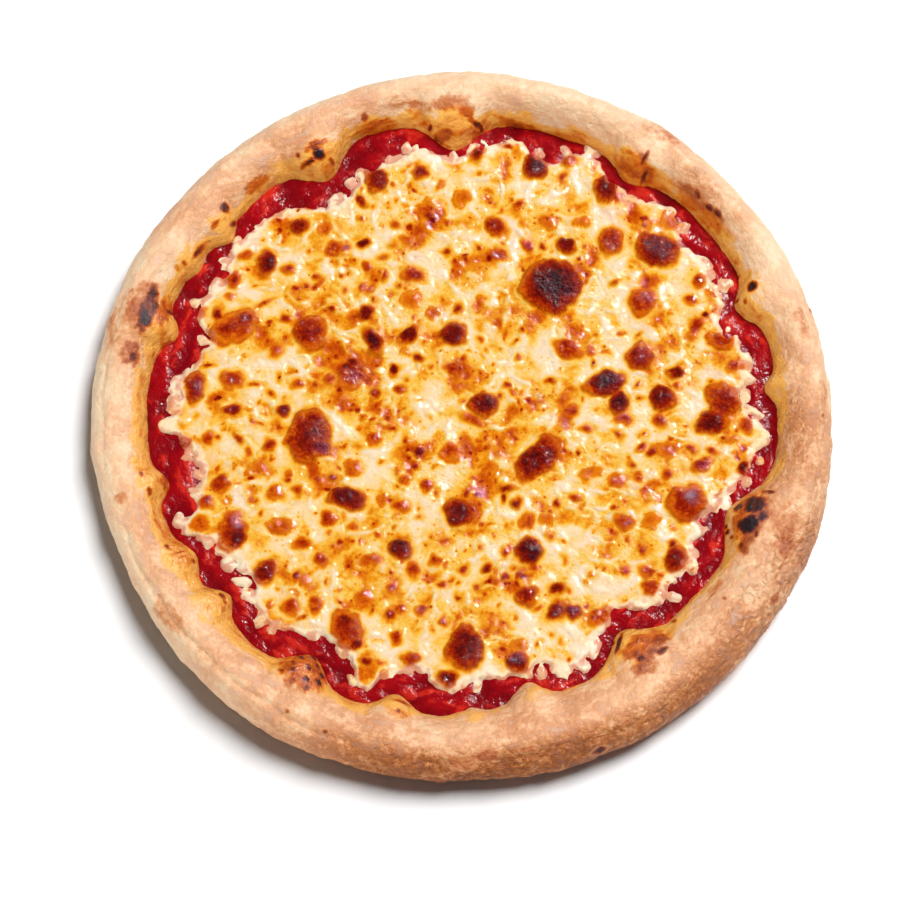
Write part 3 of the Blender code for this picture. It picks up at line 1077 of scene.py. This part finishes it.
    def browning(self, angle: Array, radius: Array, warp: Array) -> Array:
        """How far the marks brown each place; two of them paint the shade at the foot of the back right
        slope.

        Args:
            angle: Angles in degrees.
            radius: Radii in millimetres.
            warp: Noise that makes the marks' outlines ragged.

        Returns:
            From 0 unbrowned to 1 charred.
        """
        burnt = numpy.zeros_like(angle)
        for centre, middle, half_long, half_wide, turn, dark in self.marks:
            near = numpy.flatnonzero((numpy.abs(turn_between(angle, centre)) * 2.4 < half_long + 8)
                                     & (numpy.abs(radius - middle) < half_wide + 6))
            along = numpy.radians(turn_between(angle[near], centre)) * middle
            across = radius[near] - middle
            cosine, sine = math.cos(math.radians(turn)), math.sin(math.radians(turn))
            lengthwise = (along * cosine + across * sine) / half_long
            crosswise = (across * cosine - along * sine) / half_wide
            away = numpy.hypot(lengthwise, crosswise) + 0.30 * warp[near]
            beyond = (away - 1.0) * min(half_long, half_wide)
            soft = 0.6 + 0.4 * min(half_long, half_wide)
            level = dark * smooth_step(beyond, soft, -0.6 * soft)
            burnt[near] = numpy.maximum(burnt[near], level)
        return burnt

    def build(self) -> bpy.types.Object:
        """Build and dress the crust."""
        plan = self.plan
        body = turned_body(self.profile(), self.wedges, self.wedge_steps)
        mesh = bpy.data.meshes.new("crust_dough")
        body.to_mesh(mesh)
        body.free()

        places = self.shaped(places_of(mesh))
        move_vertices(mesh, places)
        normals = normals_of(mesh)
        radius, angle = polar(places)
        wall = plan.sauce_line(angle)
        slope = (radius - wall) / (plan.crest(angle) - wall)
        out = (radius - plan.crest(angle)) / (plan.outside(angle) - plan.crest(angle))
        height, crack = self.relief(places, slope)
        shown = smooth_step(places[:, 2], 0.3, 3.0)
        hidden = smooth_step(slope, -0.25, 0.0)
        places = places + normals * (height * shown * hidden)[:, None]
        places[:, 2] = numpy.maximum(places[:, 2], 0.0)

        warp = noise_over(places, 3.0, 5)
        store(mesh, Marking.BROWNING.value, self.browning(angle, radius, warp))
        toast = 0.20 + bumps(angle, self.tanned_crown) + 0.10 * noise_over(places, 26.0, 6)
        # On the outer wall this is partly painted shade, darker on the front, and painted light, paler on
        # the left side and at the back.
        toast += bumps(angle, self.wall_toast_and_painted_light) * smooth_step(out, -0.1, 0.75)
        toast += 0.35 * smooth_step(places[:, 2], 3.0, 0.5)
        store(mesh, Marking.TOAST.value, toast)
        # The deeper stain at the back right also paints the shade under the tall rim there.
        oil_depth_and_shade = 0.70 + bumps(angle, self.oil_depth_and_painted_shade)
        reach = 0.52 + bumps(angle, self.oil_reach)
        rise = noise_over(places, 9.0, 7) * 0.16
        for centre, _, spread in plan.rim_folds:
            rise -= 0.30 * numpy.exp(-0.5 * (turn_between(angle, centre) / spread) ** 2)
        store(mesh, Marking.OIL.value, oil_depth_and_shade * smooth_step(slope + rise - reach, 0.0, -0.50))
        store(mesh, Marking.CRACK.value, crack)
        return finished_piece("crust_dough", mesh, places, self.finish.make())


@dataclass
class Sauce:
    """The tomato sauce, heaped up between the cheese and the rim."""

    plan: Plan
    finish: SauceFinish
    wedges: int = 26
    wedge_steps: int = 50
    ring_steps: int = 40
    under_cheese: float = 11.0
    swell: float = 1.0

    def build(self) -> bpy.types.Object:
        """Build and dress the sauce."""
        plan = self.plan
        points = [(0.0, plan.sauce_bottom), (110.0, plan.sauce_bottom), (200.0, plan.sauce_bottom)]
        for step in range(self.ring_steps + 1):
            points.append((200.0 - 100.0 * step / self.ring_steps, plan.sauce_top))
        points += [(60.0, plan.sauce_top), (0.0, plan.sauce_top)]
        body = turned_body(points, self.wedges, self.wedge_steps)
        mesh = bpy.data.meshes.new("tomato_sauce_pulp")
        body.to_mesh(mesh)
        body.free()

        places = places_of(mesh)
        radius, angle = polar(places)
        wall = plan.sauce_line(angle) + 1.6
        inner = plan.cheese_edge(angle) - self.under_cheese
        share = (radius - 100.0) / 100.0
        place = numpy.where(share > 0.0, inner + share * (wall - inner), radius / 100.0 * inner)
        flat = cartesian(place, angle, places[:, 2])
        top = places[:, 2] > plan.sauce_top - 0.1
        lumps = noise_over(along_rim(flat, 1.6), 13.0, 21) + 0.5 * noise_over(flat, 6.0, 22)
        edge = plan.cheese_edge(angle)
        ring = smooth_step(place, edge - 8.0, edge - 4.0)
        height = self.swell * ring * (0.75 + lumps) * smooth_step(share, 1.06, 0.90)
        flat[:, 2] += numpy.where(top & (share > -0.01), height, 0.0)
        store(mesh, Marking.LUMP.value, 0.45 + 0.55 * lumps)
        return finished_piece("tomato_sauce_pulp", mesh, flat, self.finish.make())


@dataclass
class Cheese:
    """The melted cheese: strands, pools, lacy edge and blisters."""

    plan: Plan
    finish: CheeseFinish
    cells: int = 296
    thickness: float = 2.0
    lip_height: float = 0.4
    lip_width: float = 5.0
    sunk_margin: float = 5.0
    deepest: float = -1.2
    strand_count: int = 760
    strand_seed: int = 5
    fleck_count: int = 260
    fleck_seed: int = 8
    drop_count: int = 90
    drop_seed: int = 3
    char_seed: int = 4

    # Golden, oily stretches: middle x and y, radius, strength.
    golden: Table = (
        (-47, 35, 20, 0.6), (-45, 12, 18, 0.6), (-96, -48, 14, 0.7), (-90, 42, 14, 0.5),
        (-13, 91, 16, 0.6), (-62, 80, 16, 0.45), (-33, 59, 14, 0.4), (32, 12, 14, 0.35),
        (8, -18, 18, 0.55), (-25, -10, 22, 0.65), (-57, -48, 18, 0.5), (72, 54, 12, 0.3),
        (16, 42, 13, 0.5), (64, -40, 16, 0.35), (-29, -69, 16, 0.4), (52, 42, 12, 0.5),
        (-53, -31, 14, 0.5), (40, -22, 12, 0.4), (-75, -5, 12, 0.3), (75, 75, 14, 0.4),
        (0, 70, 12, 0.3), (-83, -23, 8, 0.7), (90, 0, 12, 0.3), (20, -95, 12, 0.4))

    # Blisters: middle x and y, half length, half width, turn, height, how dark.
    blisters: Table = (
        (-36, 104, 5, 5, 0, 2.4, 0.80), (-17, 108, 3.5, 3.5, 0, 1.4, 0.75),
        (-68, 83, 4, 3.5, 0, 1.8, 0.80), (-73.5, 84, 3.5, 3, 0, 0.8, 0.45),
        (-81, 66, 6, 3.8, 80, 2.2, 0.85), (-95, 59, 3.6, 3.6, 0, 1.6, 0.60),
        (-94, 38, 11, 7, 30, 2.4, 0.58), (-90, 42, 4, 3, 0, 0.5, 0.74),
        (-97.5, 36, 4, 3, 0, 0.5, 0.72), (-62.5, 35, 8, 7, 70, 2.4, 0.70),
        (-36.5, 31, 6.5, 3.2, -70, 2.2, 1.0), (-39, 44, 4, 3, 60, 1.4, 0.88),
        (-44, 42, 4, 3, 0, 0.5, 0.50), (-22, 34, 6, 2.5, 45, 1.2, 0.86),
        (-3, 35, 5.5, 5.5, 0, 2.4, 0.86), (-45, 17, 6.5, 6.5, 0, 1.6, 0.62),
        (-45.5, 22, 3, 2.5, 0, 0.8, 0.84), (-54, 15, 2.5, 2.5, 0, 0.8, 0.60),
        (-94, 15, 5, 4, 0, 1.2, 0.58), (-109, 11, 7, 5, 80, 2.2, 0.74),
        (-94, 2, 4, 2.5, 0, 0.8, 0.84), (-40.5, 75.5, 2.6, 2.6, 0, 1.2, 0.85),
        (-19.6, 61, 5, 3.5, 0, 1.0, 0.64), (-27.5, 84, 2, 2, 0, 0.8, 0.60),
        (-22.5, 77, 3.5, 2.5, 0, 0.9, 0.50), (-14, 88, 2.5, 2.5, 0, 1.0, 0.70),
        (-14, 91.5, 4, 3.5, 0, 0.4, 0.40), (-6, 72, 2, 2, 0, 0.8, 0.64),
        (-54, 73, 4, 3.5, 20, 0.8, 0.60), (-57, 82, 3, 3, 0, 0.8, 0.48),
        (-60.5, 61, 2, 2, 0, 0.6, 0.60), (-61, 56, 2, 2, 0, 0.6, 0.60),
        (-72, 64, 2.5, 2.5, 0, 0.8, 0.60), (-81, 48, 4.5, 1.2, 20, 0.5, 0.60),
        (-73, 42, 3, 2, 0, 0.6, 0.60), (-77, 28, 3, 3, 0, 0.8, 0.55),
        (-104, 21, 2, 1.2, 0, 0.5, 0.70), (-101.5, 43, 3, 2, 80, 0.7, 0.88),
        (-109, 44, 3, 3, 0, 1.0, 0.55), (-39, 64.5, 2.5, 2.5, 0, 0.8, 0.60),
        (-32, 61, 2, 2, 0, 0.6, 0.60), (-41, 55, 2, 2, 0, 0.6, 0.58),
        (-27.5, 19, 2.2, 2.2, 0, 1.0, 0.85), (-18, 24, 3, 2, 0, 0.8, 0.70),
        (-3, 20, 3.5, 2.5, 0, 1.0, 0.64), (-11.5, 44, 3, 3, 0, 0.6, 0.48),
        (-21, 50, 4, 4, 0, 0.6, 0.44), (-90, 70, 3.5, 2, 0, 0.8, 0.55),
        (-85, 12, 3, 1.2, 0, 0.5, 0.60), (-67, 13, 2.5, 2.5, 0, 0.8, 0.58),
        (-25, 11, 2.5, 2.5, 0, 0.8, 0.60), (-73, 1.5, 3, 3, 0, 1.2, 0.82),
        (31, 110, 5.7, 5.7, 0, 2.6, 0.90), (6.7, 116, 4, 2.5, 20, 1.2, 0.85),
        (20, 119, 2.5, 1.5, 0, 0.7, 0.85), (46, 113, 4, 3, 0, 1.0, 0.60),
        (61, 100, 6.5, 5, 90, 2.4, 0.85), (77, 83, 1.8, 1.8, 0, 0.7, 0.60),
        (37, 84, 4, 3.5, 0, 1.4, 0.44), (51, 85, 3.5, 3, 0, 1.2, 0.44),
        (44, 74.5, 3.8, 3.8, 0, 2.0, 0.85), (27.5, 74.5, 3, 2.5, 90, 1.0, 0.60),
        (62, 76, 6.5, 5.5, 90, 2.0, 0.64), (82, 72, 9.5, 7.5, -10, 2.6, 0.86),
        (14, 83, 6, 3.5, -65, 1.6, 0.68), (15, 69.5, 4, 3, 0, 1.2, 0.58),
        (37.5, 56, 13, 12, 0, 3.4, 0.97), (76, 49, 6.5, 6, 90, 1.8, 0.62),
        (95.5, 50.5, 3, 2.5, 0, 1.0, 0.60), (97, 38, 5.5, 3, 80, 1.0, 0.60),
        (101, 43, 1.5, 1.5, 0, 0.6, 0.85), (99, 58, 3, 3, 0, 0.9, 0.60),
        (107.5, 32, 5, 4.5, 0, 1.8, 0.66), (113, 21, 4, 2.5, 0, 0.8, 0.60),
        (89, 18, 4, 3, 0, 1.6, 0.84), (82, 6, 5.5, 5.5, 0, 2.2, 0.84),
        (107, 6, 8, 7, 80, 2.4, 0.68), (73.5, 25, 6.5, 5.5, 80, 2.2, 0.72),
        (58.5, 13, 9, 5.5, 20, 2.6, 0.92), (65, 5, 6, 4, 80, 2.2, 0.97),
        (44, 28, 6, 4, -35, 1.4, 0.66), (47.5, 36, 4, 4, 0, 0.6, 0.44),
        (53, 27, 3, 3, 0, 0.8, 0.50), (36, 14, 3, 1.5, 0, 0.6, 0.60),
        (19, 12, 2, 2, 0, 0.8, 0.60), (9, 4, 6, 5.5, 0, 2.2, 0.86),
        (44, 2, 3.5, 2.5, 0, 0.8, 0.60), (8, 48, 5, 3, 80, 0.6, 0.44),
        (24, 93, 2.2, 2.2, 0, 0.8, 0.58), (0.5, 96, 5, 4, 80, 0.8, 0.44),
        (88, 85, 6, 4, -50, 0.8, 0.46), (42.5, 105, 3, 1.8, 80, 0.6, 0.60),
        (-62.5, -9.5, 12, 8, 80, 2.8, 0.78), (-67, -10.5, 5, 5, 0, 0.6, 0.66),
        (-57, -15.5, 4, 4, 0, 0.6, 0.86), (-78, -13.5, 3, 3, 0, 1.2, 0.62),
        (-113, -11.5, 3, 2.5, 0, 1.0, 0.70), (-103.5, -10.5, 2.5, 2.5, 0, 0.8, 0.60),
        (-97.5, -29.5, 5, 4.5, 0, 1.6, 0.64), (-103.3, -37.5, 3, 3, 0, 1.2, 0.60),
        (-93, -50, 9, 6, 80, 2.0, 0.64), (-91, -53, 4, 4, 0, 0.5, 0.82),
        (-106, -47, 4, 3, 0, 1.0, 0.50), (-79, -67, 6, 4.5, 80, 2.0, 0.80),
        (-69, -82, 3.5, 3, 0, 1.0, 0.60), (-77.5, -81, 2.5, 2.5, 0, 0.8, 0.50),
        (-59, -81, 3.5, 3, 90, 1.0, 0.60), (-45.4, -91, 8.5, 6, -70, 2.6, 0.64),
        (-46, -87, 3, 2.5, 0, 0.5, 0.84), (-42, -97, 3, 2, 0, 0.5, 0.84),
        (-37.5, -104, 3, 2, 0, 1.0, 0.80), (-20, -103, 4, 3.5, 0, 1.4, 0.60),
        (-6.3, -111, 3.8, 3.3, 0, 1.4, 0.82), (1, -99, 9.5, 8, 90, 3.0, 0.86),
        (-24.6, -57.5, 5.3, 4.6, 0, 2.8, 0.90), (-46.7, -36, 8, 5, -10, 2.2, 0.92),
        (-1, -42.5, 6, 6, 0, 2.4, 0.88), (-54, -45.5, 3.5, 3, 0, 1.0, 0.60),
        (-73.5, -48, 6, 3.5, 0, 0.8, 0.50), (-64, -55.5, 4, 3, 0, 0.8, 0.55),
        (-56.7, -62, 3.3, 3.3, 0, 1.0, 0.60), (-36.3, -63, 4, 3, 0, 0.8, 0.55),
        (-39, -78, 4.5, 3.5, 0, 0.8, 0.50), (-20, -66, 4, 3.5, 90, 1.0, 0.60),
        (-10.5, -62, 2.5, 2.5, 0, 0.8, 0.58), (-25, -39.5, 3.5, 3, 0, 0.8, 0.55),
        (-14, -31, 3, 3, 0, 1.0, 0.60), (-44, -23, 4, 3.5, 0, 0.8, 0.50),
        (-36, -11, 3.5, 3, 0, 0.8, 0.54), (-17.5, -16, 2.5, 2.5, 0, 1.0, 0.84),
        (-19, -22, 2, 1.5, 0, 0.6, 0.80), (-76, -34, 3.5, 3, 0, 0.8, 0.54),
        (-67, -33, 2.3, 2.3, 0, 0.7, 0.58), (-58.5, -28, 2, 2, 0, 0.6, 0.58),
        (-4, -16, 5, 4, 0, 0.8, 0.54), (-26.7, -94, 2.7, 2.7, 0, 0.8, 0.60),
        (-7.5, -87, 2.3, 2.3, 0, 0.7, 0.60), (-15.5, -83, 2.5, 2.5, 0, 0.7, 0.60),
        (-8, -72, 3, 1.5, 0, 0.6, 0.60), (-28, -73, 2.5, 2.5, 0, 0.7, 0.60),
        (-83, -23, 5, 4, 0, 0.6, 0.40), (4.5, -3, 6, 2, -25, 0.8, 0.60),
        (31, -19, 12.5, 6.5, 50, 2.8, 0.84), (66, -2.5, 4, 2.5, 0, 0.8, 0.60),
        (81, -3, 3.5, 3, 0, 1.0, 0.60), (52, -6, 3, 1.8, 0, 0.6, 0.60),
        (73.5, -14, 2, 2, 0, 0.8, 0.60), (84, -15, 5, 3.5, 0, 0.8, 0.48),
        (97, -22, 4.5, 2.8, 25, 1.0, 0.70), (102.5, -4, 7, 5.5, 20, 2.4, 0.86),
        (116, -5, 3.5, 3, 0, 1.0, 0.60), (115, -23, 4, 2, 90, 0.9, 0.85),
        (91, -38, 8.5, 8, 30, 2.6, 0.68), (66, -46, 4, 3.5, 90, 1.2, 0.60),
        (75.5, -46, 4, 3.5, 0, 1.2, 0.44), (34.5, -45.5, 3.5, 3.5, 0, 1.0, 0.44),
        (26.5, -46, 3.2, 3, 0, 1.0, 0.54), (27, -58.5, 5.5, 5.2, 0, 2.8, 0.97),
        (26, -77, 4.5, 4.5, 0, 2.0, 0.72), (38, -74, 3.5, 2.5, 0, 0.8, 0.80),
        (38, -84, 4, 3.5, 90, 1.6, 0.82), (44, -83.5, 3.5, 3.5, 0, 1.6, 0.82),
        (55.5, -85, 6, 4, 35, 1.2, 0.58), (86, -62, 5, 4.5, 90, 2.2, 0.82),
        (75, -74, 3.8, 3.8, 0, 1.6, 0.64), (22.5, -104.5, 4.5, 4, 0, 2.0, 0.85),
        (22, -98, 4, 3, 0, 0.5, 0.44), (73, -58, 2.2, 2.2, 0, 0.7, 0.60),
        (75, -67, 3, 3, 0, 0.8, 0.60), (46, -36, 2.5, 2, 0, 0.7, 0.60),
        (39, -38, 2, 2, 0, 0.6, 0.60), (22.5, -38, 2, 2, 0, 0.8, 0.85),
        (18, -32, 3, 1.5, 0, 0.7, 0.82), (12, -23, 3.5, 3.5, 0, 0.7, 0.44),
        (52.5, -25, 5, 3, 0, 0.8, 0.44), (83, -26, 3, 2.5, 90, 0.8, 0.60),
        (63, -29, 4, 3, 0, 0.8, 0.50), (72.5, -27, 2.5, 2.5, 0, 0.8, 0.60),
        (6.5, -74, 1.7, 1.7, 0, 0.6, 0.60), (10, -66, 2, 2, 0, 0.6, 0.80),
        (66, -67, 2, 2, 0, 0.6, 0.60))

    def edge(self, angle: Array) -> Array:
        """Radius at which the sheet ends, sunk in the sauce, at angles in degrees."""
        return numpy.minimum(self.plan.cheese_edge(angle) + self.sunk_margin,
                             self.plan.sauce_line(angle) + 0.4)

    def body(self) -> bpy.types.Mesh:
        """A fine grid on a unit square at height 0, closed by a skirt and a bottom at -1."""
        body = bmesh.new()
        bmesh.ops.create_grid(body, x_segments=self.cells, y_segments=self.cells, size=1.0)
        border = [edge for edge in body.edges if edge.is_boundary]
        for part in bmesh.ops.extrude_edge_only(body, edges=border)["geom"]:
            if isinstance(part, bmesh.types.BMVert):
                part.co.z = -1.0
        rim = [edge for edge in body.edges if edge.is_boundary]
        bmesh.ops.edgeloop_fill(body, edges=rim)
        bmesh.ops.recalc_face_normals(body, faces=body.faces)
        mesh = bpy.data.meshes.new("cheese_melt")
        body.to_mesh(mesh)
        body.free()
        return mesh

    def strands(self, patch: Patch) -> Array:
        """Height of the softened strands of grated cheese.

        Args:
            patch: The cheese's places.

        Returns:
            From 0 between strands to 1 on top of them.
        """
        random = numpy.random.default_rng(self.strand_seed)
        raised = numpy.zeros_like(patch.across)
        for _ in range(self.strand_count):
            reach = 122.0 * math.sqrt(random.uniform())
            turn = random.uniform(0.0, math.tau)
            middle = (reach * math.cos(turn), reach * math.sin(turn))
            heading = random.normal(-40.0, 50.0)
            half_long = random.uniform(3.0, 9.5)
            half_wide = random.uniform(1.0, 2.1)
            found, away = patch.oval(*middle, half_long, half_wide, heading, 1.0)
            ridge = random.uniform(0.4, 1.0) * numpy.clip(1.0 - away ** 2, 0.0, 1.0)
            raised[found] = numpy.maximum(raised[found], ridge)
        return raised

    def flecks(self) -> list[tuple[float, ...]]:
        """Small blisters scattered between the larger ones, as rows like blisters."""
        random = numpy.random.default_rng(self.fleck_seed)
        large = numpy.array([row[:3] for row in self.blisters])
        rows = []
        while len(rows) < self.fleck_count:
            reach = 115.0 * math.sqrt(random.uniform())
            turn = random.uniform(0.0, math.tau)
            x, y = reach * math.cos(turn), reach * math.sin(turn)
            room = numpy.hypot(large[:, 0] - x, large[:, 1] - y) - large[:, 2]
            if room.min() < 1.0:
                continue
            size = min(max(1.0 * math.exp(random.normal(0.0, 0.40)), 0.7), 2.2)
            rows.append((x, y, size * random.uniform(1.0, 1.7), size, random.uniform(0.0, 180.0),
                         0.35 * size, random.uniform(0.36, 0.75)))
        return rows

    def drops(self, patch: Patch) -> Array:
        """Small drops and islands of cheese along the sheet's edge.

        Args:
            patch: The cheese's places.

        Returns:
            How far inside a drop each place is, in millimetres; below 0 outside them.
        """
        random = numpy.random.default_rng(self.drop_seed)
        inside = numpy.full_like(patch.across, -20.0)
        for _ in range(self.drop_count):
            turn = random.uniform(0.0, 360.0)
            reach = float(self.plan.cheese_edge(numpy.array([turn]))[0]) + random.uniform(-3.0, 2.2)
            size = random.uniform(1.3, 3.2)
            middle = (reach * math.cos(math.radians(turn)), reach * math.sin(math.radians(turn)))
            found, away = patch.oval(*middle, size * random.uniform(1.0, 1.5), size,
                                     random.uniform(0.0, 180.0), 3.0)
            inside[found] = numpy.maximum(inside[found], 0.7 * size * (1.0 - away))
        return inside

    def build(self) -> bpy.types.Object:
        """Build and dress the cheese."""
        plan = self.plan
        mesh = self.body()
        square = places_of(mesh)
        level = square[:, 2]
        share = numpy.maximum(numpy.abs(square[:, 0]), numpy.abs(square[:, 1]))
        angle = square_angle(square)
        edge = self.edge(angle)
        radius = share * (plan.cheese_radius + (edge - plan.cheese_radius) * share ** 4)
        flat = cartesian(radius, angle, 0.0 * radius)
        patch = Patch(flat[:, 0], flat[:, 1])
        warped = Patch(flat[:, 0] + 1.5 * noise_over(flat, 5.0, 33) + 1.3 * noise_over(flat, 11.0, 39),
                       flat[:, 1] + 1.5 * noise_over(flat, 5.0, 34) + 1.3 * noise_over(flat, 11.0, 40))

        lace = 3.2 * noise_over(flat, 7.0, 31) + 1.0 * noise_over(flat, 3.0, 32) - 1.3
        inward = plan.cheese_edge(angle) - radius + lace
        inward = numpy.maximum(inward, self.drops(warped))
        full = numpy.clip(inward / self.lip_width, 0.0, 1.0)
        bulge = numpy.sqrt(1.0 - (1.0 - full) ** 2)
        raised = self.strands(warped)
        height = self.lip_height + self.thickness * bulge + 1.3 * numpy.minimum(inward, 0.0)
        height += bulge * (1.15 * raised + 0.55 * noise_over(flat, 9.0, 35))
        near_edge = smooth_step(inward, 9.0, 2.0)
        height += bulge * (0.25 + 0.55 * near_edge) * noise_over(flat, 4.6, 36)

        browning = numpy.zeros_like(radius)
        crisp = numpy.zeros_like(radius)
        dome = numpy.zeros_like(radius)
        random = numpy.random.default_rng(self.char_seed)
        for x, y, half_long, half_wide, turn, rise, dark in (*self.blisters, *self.flecks()):
            small = min(half_long, half_wide)
            found, away = warped.oval(x, y, half_long, half_wide, turn, 6.0)
            cap = numpy.sqrt(numpy.clip(1.0 - (0.96 * away) ** 2, 0.0, 1.0))
            ring = numpy.exp(-((away - 1.0) * small - 1.3) ** 2 / 0.7)
            lift = rise * cap + 0.30 * ring * min(1.0, small / 3.0)
            dome[found] = numpy.maximum(dome[found], lift)
            beyond = (away - 1.0) * small
            shift = 0.28 * small * random.uniform(-1.0, 1.0, 2)
            burnt = numpy.hypot(patch.across[found] - x - shift[0],
                                patch.along[found] - y - shift[1]) / (0.5 * (half_long + half_wide))
            burnt = numpy.maximum(0.5 * (burnt + away), 1.15 * away - 0.15)
            solid = min(max((small - 1.5) / 3.5, 0.0), 1.0)
            core = numpy.interp(burnt, (0.15, 0.60, 0.87, 1.0),
                                (dark, (0.80 + 0.08 * solid) * dark,
                                 0.42 + solid * (0.62 * dark - 0.42), 0.32 + 0.10 * solid))
            halo = numpy.interp(beyond, (0.0, 0.8, 2.4), (0.34, 0.22, 0.0))
            tone = numpy.where(away < 1.0, core, halo * min(1.0, dark * 1.5))
            browning[found] = numpy.maximum(browning[found], tone)
            skin = smooth_step(beyond, 0.2, -0.8) * smooth_step(dark, 0.5, 0.8)
            crisp[found] = numpy.maximum(crisp[found], skin)
        height += dome * smooth_step(inward, 0.0, 2.0)
        height += 0.8 * crisp * numpy.abs(noise_over(flat, 2.8, 38))

        gold = 0.10 * noise_over(flat, 14.0, 37)
        for x, y, size, strength in self.golden:
            found, away = patch.oval(x, y, size, size, 0.0, size)
            gold[found] += strength * numpy.exp(-1.3 * away ** 2)

        heights = plan.cheese_bottom + numpy.maximum(height, self.deepest)
        flat[:, 2] = numpy.where(level > -0.5, heights,
                                 plan.cheese_bottom + self.deepest - 0.3)

        store(mesh, Marking.BROWNING.value, browning)
        store(mesh, Marking.CRISP.value, crisp)
        store(mesh, Marking.LUMP.value, raised)
        store(mesh, Marking.EDGE.value, smooth_step(inward, 6.0, 0.5))
        store(mesh, Marking.GOLD.value, gold)
        return finished_piece("cheese_melt", mesh, flat, self.finish.make())


def square_angle(square: Array) -> Array:
    """Angle in degrees on a disc of places on a square, with even cells.

    Args:
        square: Places on a square centred on the origin.

    Returns:
        The angles.
    """
    across, along = square[:, 0], square[:, 1]
    sideways = numpy.abs(across) > numpy.abs(along)
    safe_across = numpy.where(sideways, across, 1.0)
    safe_along = numpy.where(sideways | (along == 0.0), 1.0, along)
    angle = numpy.where(sideways, 45.0 * along / safe_across, 90.0 - 45.0 * across / safe_along)
    backwards = numpy.where(sideways, across < 0.0, along < 0.0)
    return angle + 180.0 * backwards


# -------------------------------------------------------------------------------- studio


class Reach(Enum):
    """What a lamp lights: the food, the floor, or nothing but its own glints."""

    FOOD = "food"
    FLOOR = "floor"
    GLINTS = "glints"


@dataclass(frozen=True)
class Lamp:
    """A round lamp aimed at the pizza: power, width in metres, direction and what it lights."""

    name: str
    watts: float
    width: float
    azimuth: float
    elevation: float
    reach: Reach


@dataclass
class Studio:
    """White floor, soft key behind on the right, wet glints, dim light in front and camera."""

    finish: FloorFinish
    floor_half: float = 3.0
    lamps: tuple[Lamp, ...] = (
        Lamp("soft key", 61.0, 1.4, 45.0, 60.0, Reach.FOOD),
        Lamp("sparkle", 110.0, 0.16, 45.0, 46.0, Reach.GLINTS),
        Lamp("bounce", 36.0, 2.2, 235.0, 42.0, Reach.FOOD),
        Lamp("floor key", 88.0, 1.3, 45.0, 58.0, Reach.FLOOR))
    lamp_distance: float = 2.5
    fill: float = 0.07
    fill_colour: Colour = paint(246, 250, 255)
    aim: tuple[float, float, float] = (-0.004675, -0.016565, 0.012)
    camera_distance: float = 1.10
    camera_elevation: float = 72.0
    focal_length: float = 108.24

    def place_looking(self, thing: bpy.types.Object, place: Vector) -> None:
        """Put a light or camera at a place, looking at the pizza.

        Args:
            thing: The light or camera.
            place: Where it goes.
        """
        thing.location = place
        thing.rotation_mode = "QUATERNION"
        thing.rotation_quaternion = (Vector(self.aim) - place).to_track_quat("-Z", "Y")
        bpy.context.scene.collection.objects.link(thing)

    def floor(self) -> bpy.types.Object:
        """Make the floor."""
        body = bmesh.new()
        bmesh.ops.create_grid(body, x_segments=1, y_segments=1, size=self.floor_half)
        mesh = bpy.data.meshes.new("floor")
        body.to_mesh(mesh)
        body.free()
        mesh.materials.append(self.finish.make())
        floor = bpy.data.objects.new("floor", mesh)
        floor.location.z = -0.0002
        bpy.context.scene.collection.objects.link(floor)
        return floor

    def light(self, floor: bpy.types.Object) -> None:
        """Make the lamps and the even fill.

        Args:
            floor: The floor, which some lamps leave out or light alone.
        """
        for lamp in self.lamps:
            turn, lift = math.radians(lamp.azimuth), math.radians(lamp.elevation)
            away = Vector((math.cos(turn) * math.cos(lift), math.sin(turn) * math.cos(lift),
                           math.sin(lift)))
            light = bpy.data.lights.new(lamp.name, "AREA")
            light.shape = "DISK"
            light.size = lamp.width
            light.energy = lamp.watts
            holder = bpy.data.objects.new(lamp.name, light)
            self.place_looking(holder, Vector(self.aim) + away * self.lamp_distance)
            holder.visible_diffuse = lamp.reach is not Reach.GLINTS
            holder.visible_glossy = lamp.reach is Reach.GLINTS
            if lamp.reach is not Reach.GLINTS:
                chosen = bpy.data.collections.new(lamp.name + " reach")
                chosen.objects.link(floor)
                state = "INCLUDE" if lamp.reach is Reach.FLOOR else "EXCLUDE"
                chosen.collection_objects[0].light_linking.link_state = state
                holder.light_linking.receiver_collection = chosen
        world = bpy.data.worlds.new("even fill")
        world.use_nodes = True
        world.node_tree.nodes["Background"].inputs["Color"].default_value = self.fill_colour
        world.node_tree.nodes["Background"].inputs["Strength"].default_value = self.fill
        bpy.context.scene.world = world

    def camera(self) -> None:
        """Make the camera."""
        lens = bpy.data.cameras.new("camera")
        lens.lens = self.focal_length
        lens.clip_start, lens.clip_end = 0.05, 20.0
        lift = math.radians(self.camera_elevation)
        back = Vector((0.0, -math.cos(lift), math.sin(lift)))
        viewer = bpy.data.objects.new("camera", lens)
        self.place_looking(viewer, Vector(self.aim) + back * self.camera_distance)
        bpy.context.scene.camera = viewer

    def build(self) -> None:
        """Set up the whole studio."""
        self.light(self.floor())
        self.camera()
        bpy.context.scene.view_settings.view_transform = "Standard"


def main() -> None:
    """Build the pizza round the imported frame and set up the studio."""
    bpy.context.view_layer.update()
    plan = Plan()
    layers = (("crust", Crust(plan, CrustFinish())),
              ("tomato_sauce", Sauce(plan, SauceFinish())),
              ("cheese", Cheese(plan, CheeseFinish())))
    for node, layer in layers:
        piece = layer.build()
        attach(piece, "root")
        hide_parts(node)
        log.info("%s: %d faces", piece.name, len(piece.data.polygons))
    Studio(FloorFinish()).build()
    log.info("studio: floor, lamps, even fill and camera")


if __name__ == "__main__":
    main()
